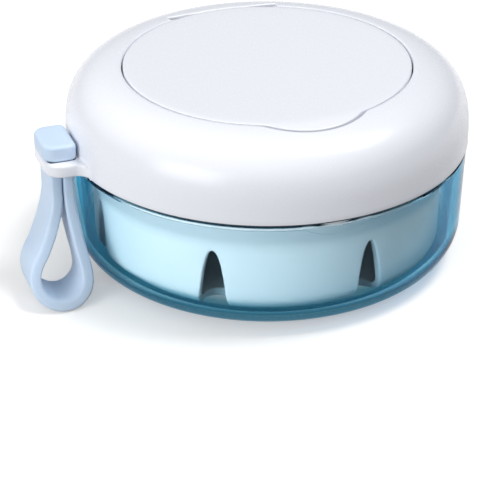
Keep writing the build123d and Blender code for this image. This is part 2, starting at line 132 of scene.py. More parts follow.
# ---------------------------------------------------------------------------- settings
class CaseFinish(bpy.types.PropertyGroup):
    """Colours and finishes of the case's materials."""

    white: bpy.props.FloatVectorProperty(
        name="Shell white", description="Moulded white of lid and flap", subtype="COLOR", size=3,
        default=(0.865, 0.885, 0.945))
    white_roughness: bpy.props.FloatProperty(
        name="Shell roughness", description="Semi-gloss of the white shell", subtype="FACTOR", default=0.27)
    basket: bpy.props.FloatVectorProperty(
        name="Basket white", description="Cool white of the drain basket", subtype="COLOR", size=3,
        default=(0.45, 0.53, 0.61))
    tint: bpy.props.FloatVectorProperty(
        name="Bowl tint", description="Colour that the bowl's plastic lets through", subtype="COLOR", size=3,
        default=(0.04, 0.60, 0.78))
    tint_density: bpy.props.FloatProperty(
        name="Tint density", description="Strength of the bowl's tint, per metre", default=85.0)
    edge_tint: bpy.props.FloatVectorProperty(
        name="Bowl edge tint", description="Colour of the bowl's plastic seen along its wall",
        subtype="COLOR", size=3, default=(0.006, 0.22, 0.38))
    # Partly real and partly painted shade: the foot is tinted deeper where the plastic curves under, and
    # darker still as painted shade of the shadowed floor under the case. The wall there is no thicker than
    # elsewhere.
    foot_tint_and_shade: bpy.props.FloatVectorProperty(
        name="Bowl foot tint", description="Colour of the bowl's thick foot", subtype="COLOR", size=3,
        default=(0.15, 0.42, 0.52))
    # Painted shade: this near-black is painted on the bowl's rim in place of the deep shadow in the gap under
    # the lid's edge.
    rim_painted_shade: bpy.props.FloatVectorProperty(
        name="Bowl rim tint", description="Colour of the bowl's rim under the lid's edge",
        subtype="COLOR", size=3, default=(0.02, 0.08, 0.12))
    gloss_tint: bpy.props.FloatVectorProperty(
        name="Bowl gloss", description="Colour of the bowl's reflections", subtype="COLOR", size=3,
        default=(0.3, 0.65, 0.8))
    bowl_ior: bpy.props.FloatProperty(
        name="Bowl refraction", description="Index of refraction of the bowl's plastic", default=1.1)
    silicone: bpy.props.FloatVectorProperty(
        name="Strap blue", description="Pale blue silicone", subtype="COLOR", size=3,
        default=(0.61, 0.75, 0.93))
    # Near-black blue of the seal, which makes the gap under the lid's edge read dark.
    seal: bpy.props.FloatVectorProperty(
        name="Seal blue", description="Deep blue silicone of the seal", subtype="COLOR", size=3,
        default=(0.004, 0.016, 0.024))


class BowlSettings(bpy.types.PropertyGroup):
    """Sizes of the clear bowl."""

    segments: bpy.props.IntProperty(name="Segments", description="Faces round the bowl", default=240, min=48)
    rim_z: bpy.props.FloatProperty(name="Rim height", description="Table to rim, mm", default=31.5)
    rim_setback: bpy.props.FloatProperty(
        name="Rim setback", description="Rim inside the lid, mm", default=0.3)
    draft: bpy.props.FloatProperty(name="Draft", description="Narrowing towards the foot, mm", default=1.3)
    corner: bpy.props.FloatProperty(name="Corner", description="Rounding under the bowl, mm", default=10.9)
    wall: bpy.props.FloatProperty(name="Wall", description="Wall of the bowl, mm", default=2.4)
    rim_wall: bpy.props.FloatProperty(name="Rim wall", description="Wall above the ledge, mm", default=1.5)
    ledge: bpy.props.FloatProperty(name="Ledge depth", description="Rim to ledge, mm", default=1.8)
    scoop_radius: bpy.props.FloatProperty(
        name="Scoop ball", description="Ball of the scoop, mm", default=50.0)
    scoop_depth: bpy.props.FloatProperty(
        name="Scoop depth", description="Depth of the scoop, mm", default=1.9)
    scoop_angle: bpy.props.FloatProperty(
        name="Scoop tilt", description="Tilt of the scoop", subtype="ANGLE", default=math.radians(36))


class BasketSettings(bpy.types.PropertyGroup):
    """Sizes of the drain basket."""

    segments: bpy.props.IntProperty(
        name="Segments", description="Faces round the basket", default=224, min=56)
    side: bpy.props.FloatProperty(name="Side radius", description="Upright side, mm", default=45.8)
    wall: bpy.props.FloatProperty(name="Wall", description="Wall of the basket, mm", default=2.2)
    corner: bpy.props.FloatProperty(name="Corner", description="Rounding under the side, mm", default=6.0)
    sink: bpy.props.FloatProperty(
        name="Sink", description="Floor of the basket below its clearance, mm", default=0.4)
    flange: bpy.props.FloatProperty(name="Flange", description="Thickness of the flange, mm", default=1.6)
    flare: bpy.props.FloatProperty(name="Flare", description="Height of the flared mouth, mm", default=7.0)
    flare_bend: bpy.props.FloatProperty(
        name="Flare bend", description="Rounding below the flare, mm", default=9.0)
    flare_clearance: bpy.props.FloatProperty(
        name="Flare clearance", description="Flare inside the ledge, mm", default=0.2)
    slot_count: bpy.props.IntProperty(name="Slots", description="Drain slots round the side", default=7)
    first_slot: bpy.props.FloatProperty(
        name="First slot", description="First slot's angle from the front", subtype="ANGLE",
        default=math.radians(14.9))
    slot_crown: bpy.props.FloatProperty(name="Crown", description="Roundness of the arch, mm", default=2.2)
    slot_side: bpy.props.FloatProperty(name="Side bulge", description="Bulge at half height, mm", default=3.2)
    slot_foot: bpy.props.FloatProperty(name="Slot foot", description="Width at the floor, mm", default=8.2)
    slot_top_z: bpy.props.FloatProperty(name="Slot top", description="Table to the arch, mm", default=20.4)
    slot_bite: bpy.props.FloatProperty(name="Slot bite", description="Reach into the floor, mm", default=5.5)
    slot_edge: bpy.props.FloatProperty(
        name="Slot edge", description="Rounded edge of a slot, mm", default=0.55)


class LidSettings(bpy.types.PropertyGroup):
    """Sizes of the lid and its flap."""

    segments: bpy.props.IntProperty(name="Segments", description="Faces round the lid", default=288, min=72)
    dome_run: bpy.props.FloatProperty(name="Dome run", description="Side to the flat top, mm", default=20.0)
    side_height: bpy.props.FloatProperty(name="Side height", description="Upright side, mm", default=2.7)
    power: bpy.props.FloatProperty(
        name="Squareness", description="Power of the shoulder's curve", default=2.85)
    wall: bpy.props.FloatProperty(name="Wall", description="Wall of the lid, mm", default=2.2)
    flap_radius: bpy.props.FloatProperty(name="Flap radius", description="Round flap, mm", default=37.2)
    flap_thickness: bpy.props.FloatProperty(
        name="Flap thickness", description="Flap's plate, mm", default=2.4)
    seam: bpy.props.FloatProperty(name="Seam", description="Gap round the flap, mm", default=0.4)
    lip_reach: bpy.props.FloatProperty(
        name="Lip reach", description="Thumb lip past the flap, mm", default=3.3)
    lip_angle: bpy.props.FloatProperty(
        name="Lip half angle", description="Half of the lip's spread", subtype="ANGLE",
        default=math.radians(19.5))
    lip_blend: bpy.props.FloatProperty(name="Lip blend", description="Hollow beside the lip, mm", default=8.0)
    lip_gap: bpy.props.FloatProperty(name="Lip gap", description="Room before the lip, mm", default=0.9)
    lip_drop: bpy.props.FloatProperty(name="Lip drop", description="Lip's fall at its tip, mm", default=0.25)
    recess: bpy.props.FloatProperty(name="Recess", description="Depth under the flap, mm", default=4.6)
    pocket_radius: bpy.props.FloatProperty(
        name="Pocket radius", description="Room behind the flap as it turns, mm", default=1.65)
    pocket_margin: bpy.props.FloatProperty(
        name="Pocket margin", description="Pocket past the flap's chord, mm", default=4.0)
    trunnion_radius: bpy.props.FloatProperty(
        name="Trunnion", description="Radius of the trunnion, mm", default=0.6)
    trunnion_seat: bpy.props.FloatProperty(
        name="Trunnion seat", description="Length in its socket, mm", default=1.6)


class StrapSettings(bpy.types.PropertyGroup):
    """Sizes of the ear, the strap's head and its loop."""

    ear_reach: bpy.props.FloatProperty(name="Ear reach", description="Ear past the lid, mm", default=8.7)
    ear_half_width: bpy.props.FloatProperty(name="Ear half width", description="Half width, mm", default=9.2)
    ear_thickness: bpy.props.FloatProperty(name="Ear thickness", description="Thickness, mm", default=3.5)
    ear_corner: bpy.props.FloatProperty(name="Ear corner", description="Rounding of the ear, mm", default=5.0)
    head_corner: bpy.props.FloatProperty(
        name="Head corner", description="Corners away from the lid, mm", default=3.6)
    head_lid_corner: bpy.props.FloatProperty(
        name="Head corner at lid", description="Corners by the lid, mm", default=1.8)
    width: bpy.props.FloatProperty(name="Band width", description="Width of the band, mm", default=11.5)
    thickness: bpy.props.FloatProperty(name="Band thickness", description="Thickness, mm", default=3.0)
    loop_radius: bpy.props.FloatProperty(name="Loop radius", description="Round end of loop, mm", default=8.3)
    lean: bpy.props.FloatProperty(
        name="Lean", description="Lean of the loop to the front", subtype="ANGLE", default=math.radians(33))
    lean_length: bpy.props.FloatProperty(
        name="Lean length", description="Length of band that bends into the lean, mm", default=10.0)


class StageSettings(bpy.types.PropertyGroup):
    """Camera, floor and surroundings."""

    lens: bpy.props.FloatProperty(name="Lens", description="Focal length on a 36 mm sensor", default=159.0)
    camera: bpy.props.FloatVectorProperty(
        name="Camera", description="Camera's place", subtype="TRANSLATION", size=3,
        default=(-0.1744, -0.4891, 0.2829))
    target: bpy.props.FloatVectorProperty(
        name="Target", description="What the camera looks at", subtype="TRANSLATION", size=3,
        default=(-0.00539, 0.00186, -0.00304))
    floor_size: bpy.props.FloatProperty(
        name="Floor", description="Half side of the floor", unit="LENGTH", default=4.0)
    floor_seen: bpy.props.FloatVectorProperty(
        name="Floor as seen", description="Colour of the floor to the eye", subtype="COLOR", size=3,
        default=(0.80, 0.80, 0.80))
    floor_bounce: bpy.props.FloatVectorProperty(
        name="Floor bounce", description="Colour of the floor for the light that it throws on the case",
        subtype="COLOR", size=3, default=(0.26, 0.26, 0.27))
    floor_glow: bpy.props.FloatProperty(
        name="Floor glow", description="Lift of the floor towards white where it is seen", default=0.37)
    ambient: bpy.props.FloatProperty(name="Ambient", description="Even light from all round", default=0.60)


# ---------------------------------------------------------------------------- outlines
def rounded(corners, steps):
    """Points of a closed outline from (x, y, rounding) corners, with each rounding as an arc of steps."""
    points = []
    count = len(corners)
    for index, (x, y, radius) in enumerate(corners):
        here = Vector((x, y))
        if radius <= 0:
            points.append(tuple(here))
            continue
        back = (Vector(corners[index - 1][:2]) - here).normalized()
        ahead = (Vector(corners[(index + 1) % count][:2]) - here).normalized()
        half = back.angle(ahead) / 2
        reach = radius / math.tan(half)
        centre = here + (back + ahead).normalized() * (radius / math.sin(half))
        start = here + back * reach - centre
        turn = start.angle_signed(here + ahead * reach - centre)
        for step in range(steps + 1):
            points.append(tuple(centre + Matrix.Rotation(-turn * step / steps, 2) @ start))
    return points


def superellipse(settings, inset, top_z, turn):
    """(radius, height) on the lid's shoulder at a turn from 0 at the side to a quarter turn at the top."""
    shoulder_z = LID_EDGE_Z + settings.side_height
    flat_radius = LID_RADIUS - settings.dome_run
    out = flat_radius + (settings.dome_run - inset) * max(math.cos(turn), 0) ** (2 / settings.power)
    return out, shoulder_z + (top_z - shoulder_z) * math.sin(turn) ** (2 / settings.power)


def shoulder_turn(settings, radius):
    """Turn at which the shoulder's curve has a radius; a quarter turn on the flat top."""
    share = (radius - LID_RADIUS + settings.dome_run) / settings.dome_run
    return math.acos(max(min(share, 1), 0) ** (settings.power / 2))


def dome_height(settings, radius):
    """Height of the lid's outside at a radius."""
    flat_radius = LID_RADIUS - settings.dome_run
    if radius <= flat_radius:
        return LID_TOP_Z
    shoulder_z = LID_EDGE_Z + settings.side_height
    share = min((radius - flat_radius) / settings.dome_run, 1)
    return shoulder_z + (LID_TOP_Z - shoulder_z) * (1 - share ** settings.power) ** (1 / settings.power)


def lip_circle(settings):
    """Middle distance and radius of the circle that makes the thumb lip."""
    corner_y = settings.flap_radius * math.cos(settings.lip_angle)
    tip = settings.flap_radius + settings.lip_reach
    middle = (tip ** 2 - settings.flap_radius ** 2) / (2 * (tip - corner_y))
    return middle, tip - middle


def flap_reach(settings, angle, growth, lip_growth):
    """Radius of the flap's outline at an angle from the front, grown for the recess.

    The big circle and the lip's circle are joined by two hollow arcs that touch both.
    """
    middle, lip_radius = lip_circle(settings)
    lip_radius += lip_growth
    big = settings.flap_radius + growth
    blend = settings.lip_blend
    along = ((lip_radius + blend) ** 2 - (big + blend) ** 2 - middle ** 2) / (2 * middle)
    across = math.sqrt((big + blend) ** 2 - along ** 2)
    big_angle = math.atan2(across, -along)
    lip_turn = math.atan2(across, -along - middle)
    on_lip = Vector((lip_radius * math.sin(lip_turn), middle + lip_radius * math.cos(lip_turn)))
    lip_angle = math.atan2(on_lip.x, on_lip.y)
    turn = abs(math.remainder(angle, FULL_TURN))
    if turn >= big_angle:
        return big
    if turn <= lip_angle:
        return ray_to_circle(turn, Vector((0, middle)), lip_radius, 1)
    return ray_to_circle(turn, Vector((across, -along)), blend, -1)


def ray_to_circle(turn, centre, radius, sense):
    """Distance along a ray from the axis to the far (1) or near (-1) side of a circle."""
    ray = Vector((math.sin(turn), math.cos(turn)))
    near = ray.dot(centre)
    inside = max(radius ** 2 - (centre.length_squared - near ** 2), 0)
    return near + sense * math.sqrt(inside)


def hinge_chord(settings):
    """Half the flap's width at its hinge line."""
    return math.sqrt(settings.flap_radius ** 2 - joint_mm("flap_hinge", 1) ** 2)


def recess_reach(settings, angle):
    """Radius of the recess: the flap's outline, its seam and the two pockets at the hinge line."""
    reach = flap_reach(settings, angle, settings.seam, settings.lip_gap)
    from_back = math.pi - abs(math.remainder(angle, FULL_TURN))
    pocket_y = joint_mm("flap_hinge", 1) + settings.pocket_radius
    pocket_x = hinge_chord(settings) + settings.pocket_margin
    if from_back < math.atan2(pocket_x, pocket_y):
        reach = max(reach, pocket_y / math.cos(from_back))
    return reach


def ear_outline(strap):
    """Ear's outline: straight sides with round corners, running out of the lid in hollow arcs."""
    tip = -(LID_RADIUS + strap.ear_reach)
    root_depth, foot_inset, foot_flare, foot_hollow = 2.0, 0.2, 3.5, 3.0
    half = strap.ear_half_width
    foot_half = half + foot_flare
    on_lid = -math.sqrt(LID_RADIUS ** 2 - foot_half ** 2)
    right = [(tip, half, strap.ear_corner), (-LID_RADIUS + foot_inset, half, foot_hollow),
             (on_lid, foot_half, 0), (-(LID_RADIUS - root_depth), foot_half, 0)]
    left = [(x, -y, corner) for x, y, corner in reversed(right)]
    return rounded(left + right, 10)


def ear_slot_outline(strap):
    """Slot in the ear that the strap's legs pass through."""
    middle = joint_mm("strap_swing", 0)
    room, corner = 0.2, 0.5
    half_x = strap.thickness + LEG_GAP / 2 + room
    half_y = strap.width / 2 + room
    return rounded([(middle - half_x, -half_y, corner), (middle + half_x, -half_y, corner),
                    (middle + half_x, half_y, corner), (middle - half_x, half_y, corner)], 4)


def scooped_height(size, ball, angle, radius, z):
    """Height of the rim's top at a place, lower where the scoop's ball has bitten into it."""
    aside = radius * math.sin(angle)
    out = ball.x - radius * math.cos(angle)
    depth = size.scoop_radius ** 2 - aside ** 2 - out ** 2
    return min(z, ball.y - math.sqrt(depth)) if depth > 0 else z


def bowl_outline(size, rim, ball, angle):
    """Bowl's section: up the outside, over the rim, down to the ledge and along the inside's floor."""
    outer_edge, inner_edge = 0.5, 0.3
    corner_steps, floor_steps, side_steps, rim_steps, ledge_steps = 20, 16, 12, 24, 4
    foot = rim - size.draft
    inner = rim - size.rim_wall
    ledge_z = size.rim_z - size.ledge
    corner = rounded([(foot, 0, size.corner), (rim, size.rim_z, 0), (0, size.rim_z, 0), (0, 0, 0)],
                     corner_steps)
    points = [(0, 0)] + corner[:corner_steps + 1]
    side_low_z = points[-1][1]
    top_z = scooped_height(size, ball, angle, rim, size.rim_z - outer_edge)
    for step in range(1, side_steps + 1):
        z = side_low_z + (top_z - side_low_z) * (step / side_steps)
        points.append((foot + (rim - foot) * z / size.rim_z, z))
    for step in range(rim_steps + 1):
        radius = rim + (inner - rim) * (step / rim_steps)
        outer_round = max(outer_edge - (rim - radius), 0)
        inner_round = max(inner_edge - (radius - inner), 0)
        fall = (outer_edge - math.sqrt(outer_edge ** 2 - outer_round ** 2)
                + inner_edge - math.sqrt(inner_edge ** 2 - inner_round ** 2))
        points.append((radius, scooped_height(size, ball, angle, radius, size.rim_z - fall)))
    inner_top = points[-1][1]
    for step in range(1, ledge_steps):
        points.append((inner, ledge_z + (inner_top - ledge_z) * (1 - step / ledge_steps)))
    ledge_in = rim - size.wall - size.draft * size.ledge / size.rim_z
    points += [(inner, ledge_z), (ledge_in, ledge_z)]
    floor = rounded([(foot - size.wall, size.wall, size.corner - size.wall), (0, size.wall, 0),
                     (0, ledge_z, 0), (ledge_in, ledge_z, 0)], floor_steps)
    return points + floor[:floor_steps + 1] + [(0, size.wall)]


def lid_outline(size, angle):
    """Lid's section: the recess's floor and wall, the dome outside it, the lower edge and the inside."""
    seam_steps, dome_steps, inside_steps = 5, 40, 12
    inner_edge, lower_edge, lower_bevel, side_ring = 0.3, 0.4, 0.12, 1.4
    floor_z = LID_TOP_Z - size.recess
    ceiling_z = floor_z - RECESS_FLOOR
    inner_wall = LID_RADIUS - size.wall
    reach = recess_reach(size, angle)
    rim_z = dome_height(size, reach + SEAM_EDGE)
    points = [(0, floor_z), (reach * 0.5, floor_z), (reach - inner_edge, floor_z),
              (reach, floor_z + inner_edge), (reach, floor_z + (rim_z - SEAM_EDGE - floor_z) * 0.6)]
    for step in range(seam_steps + 1):
        turn = QUARTER_TURN * step / seam_steps
        points.append((reach + SEAM_EDGE * (1 - math.cos(turn)),
                       rim_z - SEAM_EDGE + SEAM_EDGE * math.sin(turn)))
    start = shoulder_turn(size, reach + SEAM_EDGE)
    for step in range(1, dome_steps + 1):
        points.append(superellipse(size, 0, LID_TOP_Z, start * (1 - step / dome_steps)))
    points += [(LID_RADIUS, LID_EDGE_Z + side_ring), (LID_RADIUS, LID_EDGE_Z + lower_edge),
               (LID_RADIUS - lower_bevel, LID_EDGE_Z + lower_bevel),
               (LID_RADIUS - lower_edge, LID_EDGE_Z),
               (inner_wall + inner_edge, LID_EDGE_Z), (inner_wall, LID_EDGE_Z + inner_edge)]
    for step in range(inside_steps + 1):
        points.append(superellipse(size, size.wall, ceiling_z, QUARTER_TURN * step / inside_steps))
    return points + [(0, ceiling_z)]


def flap_top_z(size, radius):
    """Height of the flap's top: the dome's, falling a little over the thumb lip."""
    blend = 0.6
    past = min(max((radius - size.flap_radius + blend) / (size.lip_reach + blend), 0), 1)
    return dome_height(size, radius) - size.lip_drop * past * past * (3 - 2 * past)


def flap_outline(size, angle):
    """Flap's section: its underside with the mirror's frame, its edge and its top."""
    frame_in, frame_out, frame_edge = 31.3, 32.5, 0.15
    under_edge, flat_radius, middle_radius = 0.3, 30, 15
    edge_steps, top_steps = 5, 8
    under_z = LID_TOP_Z - size.flap_thickness
    reach = flap_reach(size, angle, 0, 0)
    rim_z = flap_top_z(size, reach - SEAM_EDGE)
    points = [(0, under_z), (frame_in, under_z), (frame_in, MIRROR_FRAME_Z + frame_edge),
              (frame_in + frame_edge, MIRROR_FRAME_Z), (frame_out - frame_edge, MIRROR_FRAME_Z),
              (frame_out, MIRROR_FRAME_Z + frame_edge), (frame_out, under_z),
              (reach - under_edge, under_z), (reach, under_z + under_edge)]
    for step in range(edge_steps + 1):
        turn = QUARTER_TURN * step / edge_steps
        points.append((reach - SEAM_EDGE * (1 - math.cos(turn)),
                       rim_z - SEAM_EDGE + SEAM_EDGE * math.sin(turn)))
    for step in range(1, top_steps + 1):
        radius = (reach - SEAM_EDGE) + (flat_radius - reach + SEAM_EDGE) * step / top_steps
        points.append((radius, flap_top_z(size, radius)))
    return points + [(middle_radius, LID_TOP_Z), (0, LID_TOP_Z)]


def slot_outline(size, low):
    """Half the slot's outline as (way down the side from the arch, half width), to its foot."""
    side_steps, foot_steps = 40, 12
    crowding = 1.4
    top = size.slot_top_z
    ends = [Vector((0, top)), Vector((size.slot_crown, top)), Vector((size.slot_side, top / 2)),
            Vector((size.slot_foot / 2, 0))]
    side_end = low + size.corner
    bite_radius = size.side - size.slot_bite
    outline = []
    for step in range(side_steps + 1):
        t = (step / side_steps) ** crowding
        x, z = (ends[0] * (1 - t) ** 3 + ends[1] * 3 * (1 - t) ** 2 * t
                + ends[2] * 3 * (1 - t) * t * t + ends[3] * t ** 3)
        if z >= side_end:
            outline.append((top - z, x))
            continue
        turn = math.asin(min((side_end - z) / size.corner, 1))
        if size.side - size.corner * (1 - math.cos(turn)) <= bite_radius:
            break
        outline.append((top - side_end + turn * size.corner, x))
    half = outline[-1][1]
    flat_from = size.side - size.corner
    for step in range(1, foot_steps + 1):
        turn = QUARTER_TURN * step / foot_steps
        radius = bite_radius - half * math.sin(turn)
        if radius > flat_from:
            along = top - side_end + size.corner * math.acos((radius - flat_from) / size.corner)
        else:
            along = top - side_end + size.corner * QUARTER_TURN + flat_from - radius
        outline.append((along, half * math.cos(turn)))
    return outline


def on_side(size, low, along, x, depth):
    """Place of a point that is this far along the side and corner, aside, and under the surface."""
    straight = size.slot_top_z - low - size.corner
    turn = min(max((along - straight) / size.corner, 0), QUARTER_TURN)
    radius = size.side - size.corner + (size.corner - depth) * math.cos(turn)
    z = low + size.corner - (size.corner - depth) * math.sin(turn)
    if along < straight:
        z += straight - along
    past = along - straight - size.corner * QUARTER_TURN
    if past > 0:
        radius -= past
    return (x, -math.sqrt(max(radius ** 2 - x ** 2, 0)), z)


# ---------------------------------------------------------------------------- meshes
def finish_mesh(name, mesh):
    """Shades a mesh smooth with crisp edges past the sharp angle, and puts it in the scene."""
    build = bmesh.new()
    build.from_mesh(mesh)
    bmesh.ops.remove_doubles(build, verts=build.verts, dist=1e-7)
    bmesh.ops.dissolve_degenerate(build, edges=build.edges, dist=1e-7)
    bmesh.ops.recalc_face_normals(build, faces=build.faces)
    for face in build.faces:
        face.smooth = True
    for edge in build.edges:
        edge.smooth = edge.calc_face_angle(0) < SHARP_ANGLE
    build.to_mesh(mesh)
    build.free()
    piece = bpy.data.objects.new(name, mesh)
    bpy.context.scene.collection.objects.link(piece)
    return piece


def swept_rings(name, rings, closed=True):
    """Mesh from rings of points in millimetres, each a closed outline; closed joins the last to the first."""
    vertices = [tuple(Vector(point) * MM) for ring in rings for point in ring]
    size = len(rings[0])
    count = len(rings)
    faces = []
    for ring in range(count if closed else count - 1):
        after = (ring + 1) % count
        for index in range(size):
            beyond = (index + 1) % size
            faces.append((ring * size + index, ring * size + beyond,
                          after * size + beyond, after * size + index))
    mesh = bpy.data.meshes.new(name)
    mesh.from_pydata(vertices, [], faces)
    return mesh


def turned(name, outline_at, segments):
    """Closed body of revolution whose outline, a list of (radius, height), may change with the angle."""
    rings = []
    for segment in range(segments):
        angle = FULL_TURN * segment / segments
        around = (math.sin(angle), -math.cos(angle))
        rings.append([(r * around[0], r * around[1], z) for r, z in outline_at(angle)])
    return swept_rings(name, rings)


def plate(name, outlines, low, high, bevel):
    """Flat plate with rounded edges from closed outlines in XY; the second outline is a hole."""
    curve = bpy.data.curves.new(name, "CURVE")
    curve.dimensions = "2D"
    curve.fill_mode = "BOTH"
    curve.extrude = ((high - low) / 2 - bevel) * MM
    curve.bevel_depth = bevel * MM
    curve.bevel_resolution = 4
    curve.offset = -bevel * MM
    for outline in outlines:
        spline = curve.splines.new("POLY")
        spline.points.add(len(outline) - 1)
        for point, place in zip(spline.points, outline):
            point.co = (place[0] * MM, place[1] * MM, 0, 1)
        spline.use_cyclic_u = True
    holder = bpy.data.objects.new(name, curve)
    bpy.context.scene.collection.objects.link(holder)
    mesh = evaluated_mesh(holder, name)
    mesh.transform(Matrix.Translation((0, 0, (low + high) / 2 * MM)))
    return mesh


def evaluated_mesh(holder, name):
    """Plain mesh of an object with its modifiers applied; the object is removed."""
    bpy.context.view_layer.update()
    depsgraph = bpy.context.evaluated_depsgraph_get()
    mesh = bpy.data.meshes.new_from_object(holder.evaluated_get(depsgraph), depsgraph=depsgraph)
    mesh.name = name
    bpy.data.objects.remove(holder)
    return mesh


def capped(mesh):
    """Closes the two open ends of a tube mesh."""
    build = bmesh.new()
    build.from_mesh(mesh)
    bmesh.ops.holes_fill(build, edges=[edge for edge in build.edges if edge.is_boundary], sides=0)
    build.to_mesh(mesh)
    build.free()
    return mesh


def laddered(mesh, count, half):
    """Closes both ends of a tube of mirrored rings with strips from one half of the ring to the other."""
    build = bmesh.new()
    build.from_mesh(mesh)
    build.verts.ensure_lookup_table()
    for start in (0, len(build.verts) - count):
        ring = build.verts[start:start + count]
        build.faces.new((ring[0], ring[1], ring[-1]))
        for step in range(1, half - 2):
            build.faces.new((ring[step], ring[step + 1], ring[count - step - 1], ring[count - step]))
        build.faces.new((ring[half - 2], ring[half - 1], ring[half]))
    bmesh.ops.recalc_face_normals(build, faces=build.faces)
    build.to_mesh(mesh)
    build.free()
    return mesh


def joined(name, meshes):
    """One mesh out of several."""
    build = bmesh.new()
    for mesh in meshes:
        build.from_mesh(mesh)
    whole = bpy.data.meshes.new(name)
    build.to_mesh(whole)
    build.free()
    return whole


def rod(name, radius, start_x, end_x, y, z, bevel):
    """Round bar along X with bevelled ends."""
    sides = 32
    outline = [(0, start_x), (radius - bevel, start_x), (radius, start_x + bevel),
               (radius, end_x - bevel), (radius - bevel, end_x), (0, end_x)]
    rings = []
    for side in range(sides):
        angle = FULL_TURN * side / sides
        rings.append([(x, y + r * math.cos(angle), z + r * math.sin(angle)) for r, x in outline])
    return swept_rings(name, rings)


def extruded(name, outline, start_x, end_x):
    """Prism along X from a closed outline in YZ."""
    count = len(outline)
    vertices = [(x * MM, y * MM, z * MM) for x in (start_x, end_x) for y, z in outline]
    faces = [tuple(range(count)), tuple(range(2 * count - 1, count - 1, -1))]
    faces += [(i, (i + 1) % count, count + (i + 1) % count, count + i) for i in range(count)]
    mesh = bpy.data.meshes.new(name)
    mesh.from_pydata(vertices, [], faces)
    return mesh


def knuckle(name, start_x, end_x, root_z, sense, wall_y):
    """Hinge barrel and its web, which runs up (1) or down (-1) the wall from its root."""
    hinge_y, hinge_z = joint_mm("lid_hinge", 1), joint_mm("lid_hinge", 2)
    slope = KNUCKLE_RADIUS * math.cos(math.pi / 4)
    web = [(wall_y, root_z), (hinge_y, root_z), (hinge_y + slope, hinge_z + sense * slope),
           (wall_y, root_z + sense * WEB_HEIGHT)]
    return [rod(name, KNUCKLE_RADIUS, start_x, end_x, hinge_y, hinge_z, KNUCKLE_BEVEL),
            extruded(name, web, start_x + KNUCKLE_BEVEL, end_x - KNUCKLE_BEVEL)]


def slot_cutter(size, low):
    """Slot as a solid from outside the wall to inside it, wider at both faces for rounded edges."""
    past_wall, just_outside, edge_steps = 1.0, 0.02, 6
    edge, inner_edge = size.slot_edge, size.slot_edge * 0.6
    half = slot_outline(size, low)
    loop = half + [(along, -x) for along, x in half[-2:0:-1]]
    count = len(loop)
    stations = [(-past_wall, edge), (-just_outside, edge)]
    for step in range(1, edge_steps + 1):
        turn = QUARTER_TURN * step / edge_steps
        stations.append((edge * (1 - math.cos(turn)), edge * (1 - math.sin(turn))))
    for step in range(edge_steps + 1):
        turn = QUARTER_TURN * step / edge_steps
        stations.append((size.wall - inner_edge * (1 - math.sin(turn)),
                         inner_edge * (1 - math.cos(turn))))
    stations.append((size.wall + past_wall, inner_edge))
    rings = []
    for depth, growth in stations:
        ring = []
        for index, (along, x) in enumerate(loop):
            before, after = Vector(loop[index - 1]), Vector(loop[(index + 1) % count])
            way = (after - before).normalized()
            ring.append(on_side(size, low, along - way.y * growth, x + way.x * growth, depth))
        rings.append(ring)
    return laddered(swept_rings("slot_cutter", rings, closed=False), count, len(half))


def lift_tabs(inner, flange_top):
    """Two curved finger tabs on the inside of the wall, which rise past the mouth."""
    outer, thickness, half_width = inner + 0.3, 2.0, 7.5
    low, high, corner = flange_top - 15.8, flange_top + 3.0, 3.4
    soft, softer = 0.12, 0.4
    half_height = (high - low) / 2
    face = rounded([(-half_width, low, corner), (half_width, low, corner),
                    (half_width, high, corner), (-half_width, high, corner)], 8)
    layers = [(0, softer), (soft, soft), (softer, 0),
              (thickness - softer, 0), (thickness - soft, soft), (thickness, softer)]
    meshes = []
    for side in (-1, 1):
        rings = []
        for depth, inset in layers:
            ring = []
            for x, z in face:
                turn = x * (1 - inset / half_width) / outer
                height = (high + low) / 2 + (z - (high + low) / 2) * (1 - inset / half_height)
                radius = outer - depth
                ring.append((side * radius * math.cos(turn), radius * math.sin(turn), height))
            rings.append(ring)
        meshes.append(capped(swept_rings("lift_tab", rings, closed=False)))
    return meshes


# ---------------------------------------------------------------------------- materials
def new_material(name):
    """New node material, with its nodes, its links and its shader."""
    material = bpy.data.materials.new(name)
    material.use_nodes = True
    nodes = material.node_tree.nodes
    shader = nodes["Principled BSDF"]
    return material, nodes, material.node_tree.links, shader


def math_node(nodes, links, operation, *values):
    """Math node fed with sockets or plain numbers; returns its output."""
    node = nodes.new("ShaderNodeMath")
    node.operation = operation
    for socket, value in zip(node.inputs, values):
        if isinstance(value, (int, float)):
            socket.default_value = value
        else:
            links.new(value, socket)
    return node.outputs["Value"]


def add_speckle(nodes, links, shader, scale, roughness_range, bump_height):
    """Fine unevenness in gloss and surface, on Object coordinates; returns its noise."""
    place = nodes.new("ShaderNodeTexCoord")
    noise = nodes.new("ShaderNodeTexNoise")
    noise.inputs["Scale"].default_value = scale
    noise.inputs["Detail"].default_value = 3
    links.new(place.outputs["Object"], noise.inputs["Vector"])
    spread = nodes.new("ShaderNodeMapRange")
    spread.inputs["To Min"].default_value, spread.inputs["To Max"].default_value = roughness_range
    links.new(noise.outputs["Fac"], spread.inputs["Value"])
    links.new(spread.outputs["Result"], shader.inputs["Roughness"])
    bump = nodes.new("ShaderNodeBump")
    bump.inputs["Strength"].default_value = 0.08
    bump.inputs["Distance"].default_value = bump_height
    links.new(noise.outputs["Fac"], bump.inputs["Height"])
    links.new(bump.outputs["Normal"], shader.inputs["Normal"])
    return noise


def mixed_colour(nodes, links, factor, first, second):
    """Colour that goes from the first to the second; either may be a socket."""
    mix = nodes.new("ShaderNodeMix")
    mix.data_type = "RGBA"
    links.new(factor, mix.inputs["Factor"])
    for socket, colour in ((mix.inputs["A"], first), (mix.inputs["B"], second)):
        if isinstance(colour, bpy.types.NodeSocket):
            links.new(colour, socket)
        else:
            socket.default_value = (*colour, 1)
    return mix.outputs["Result"]


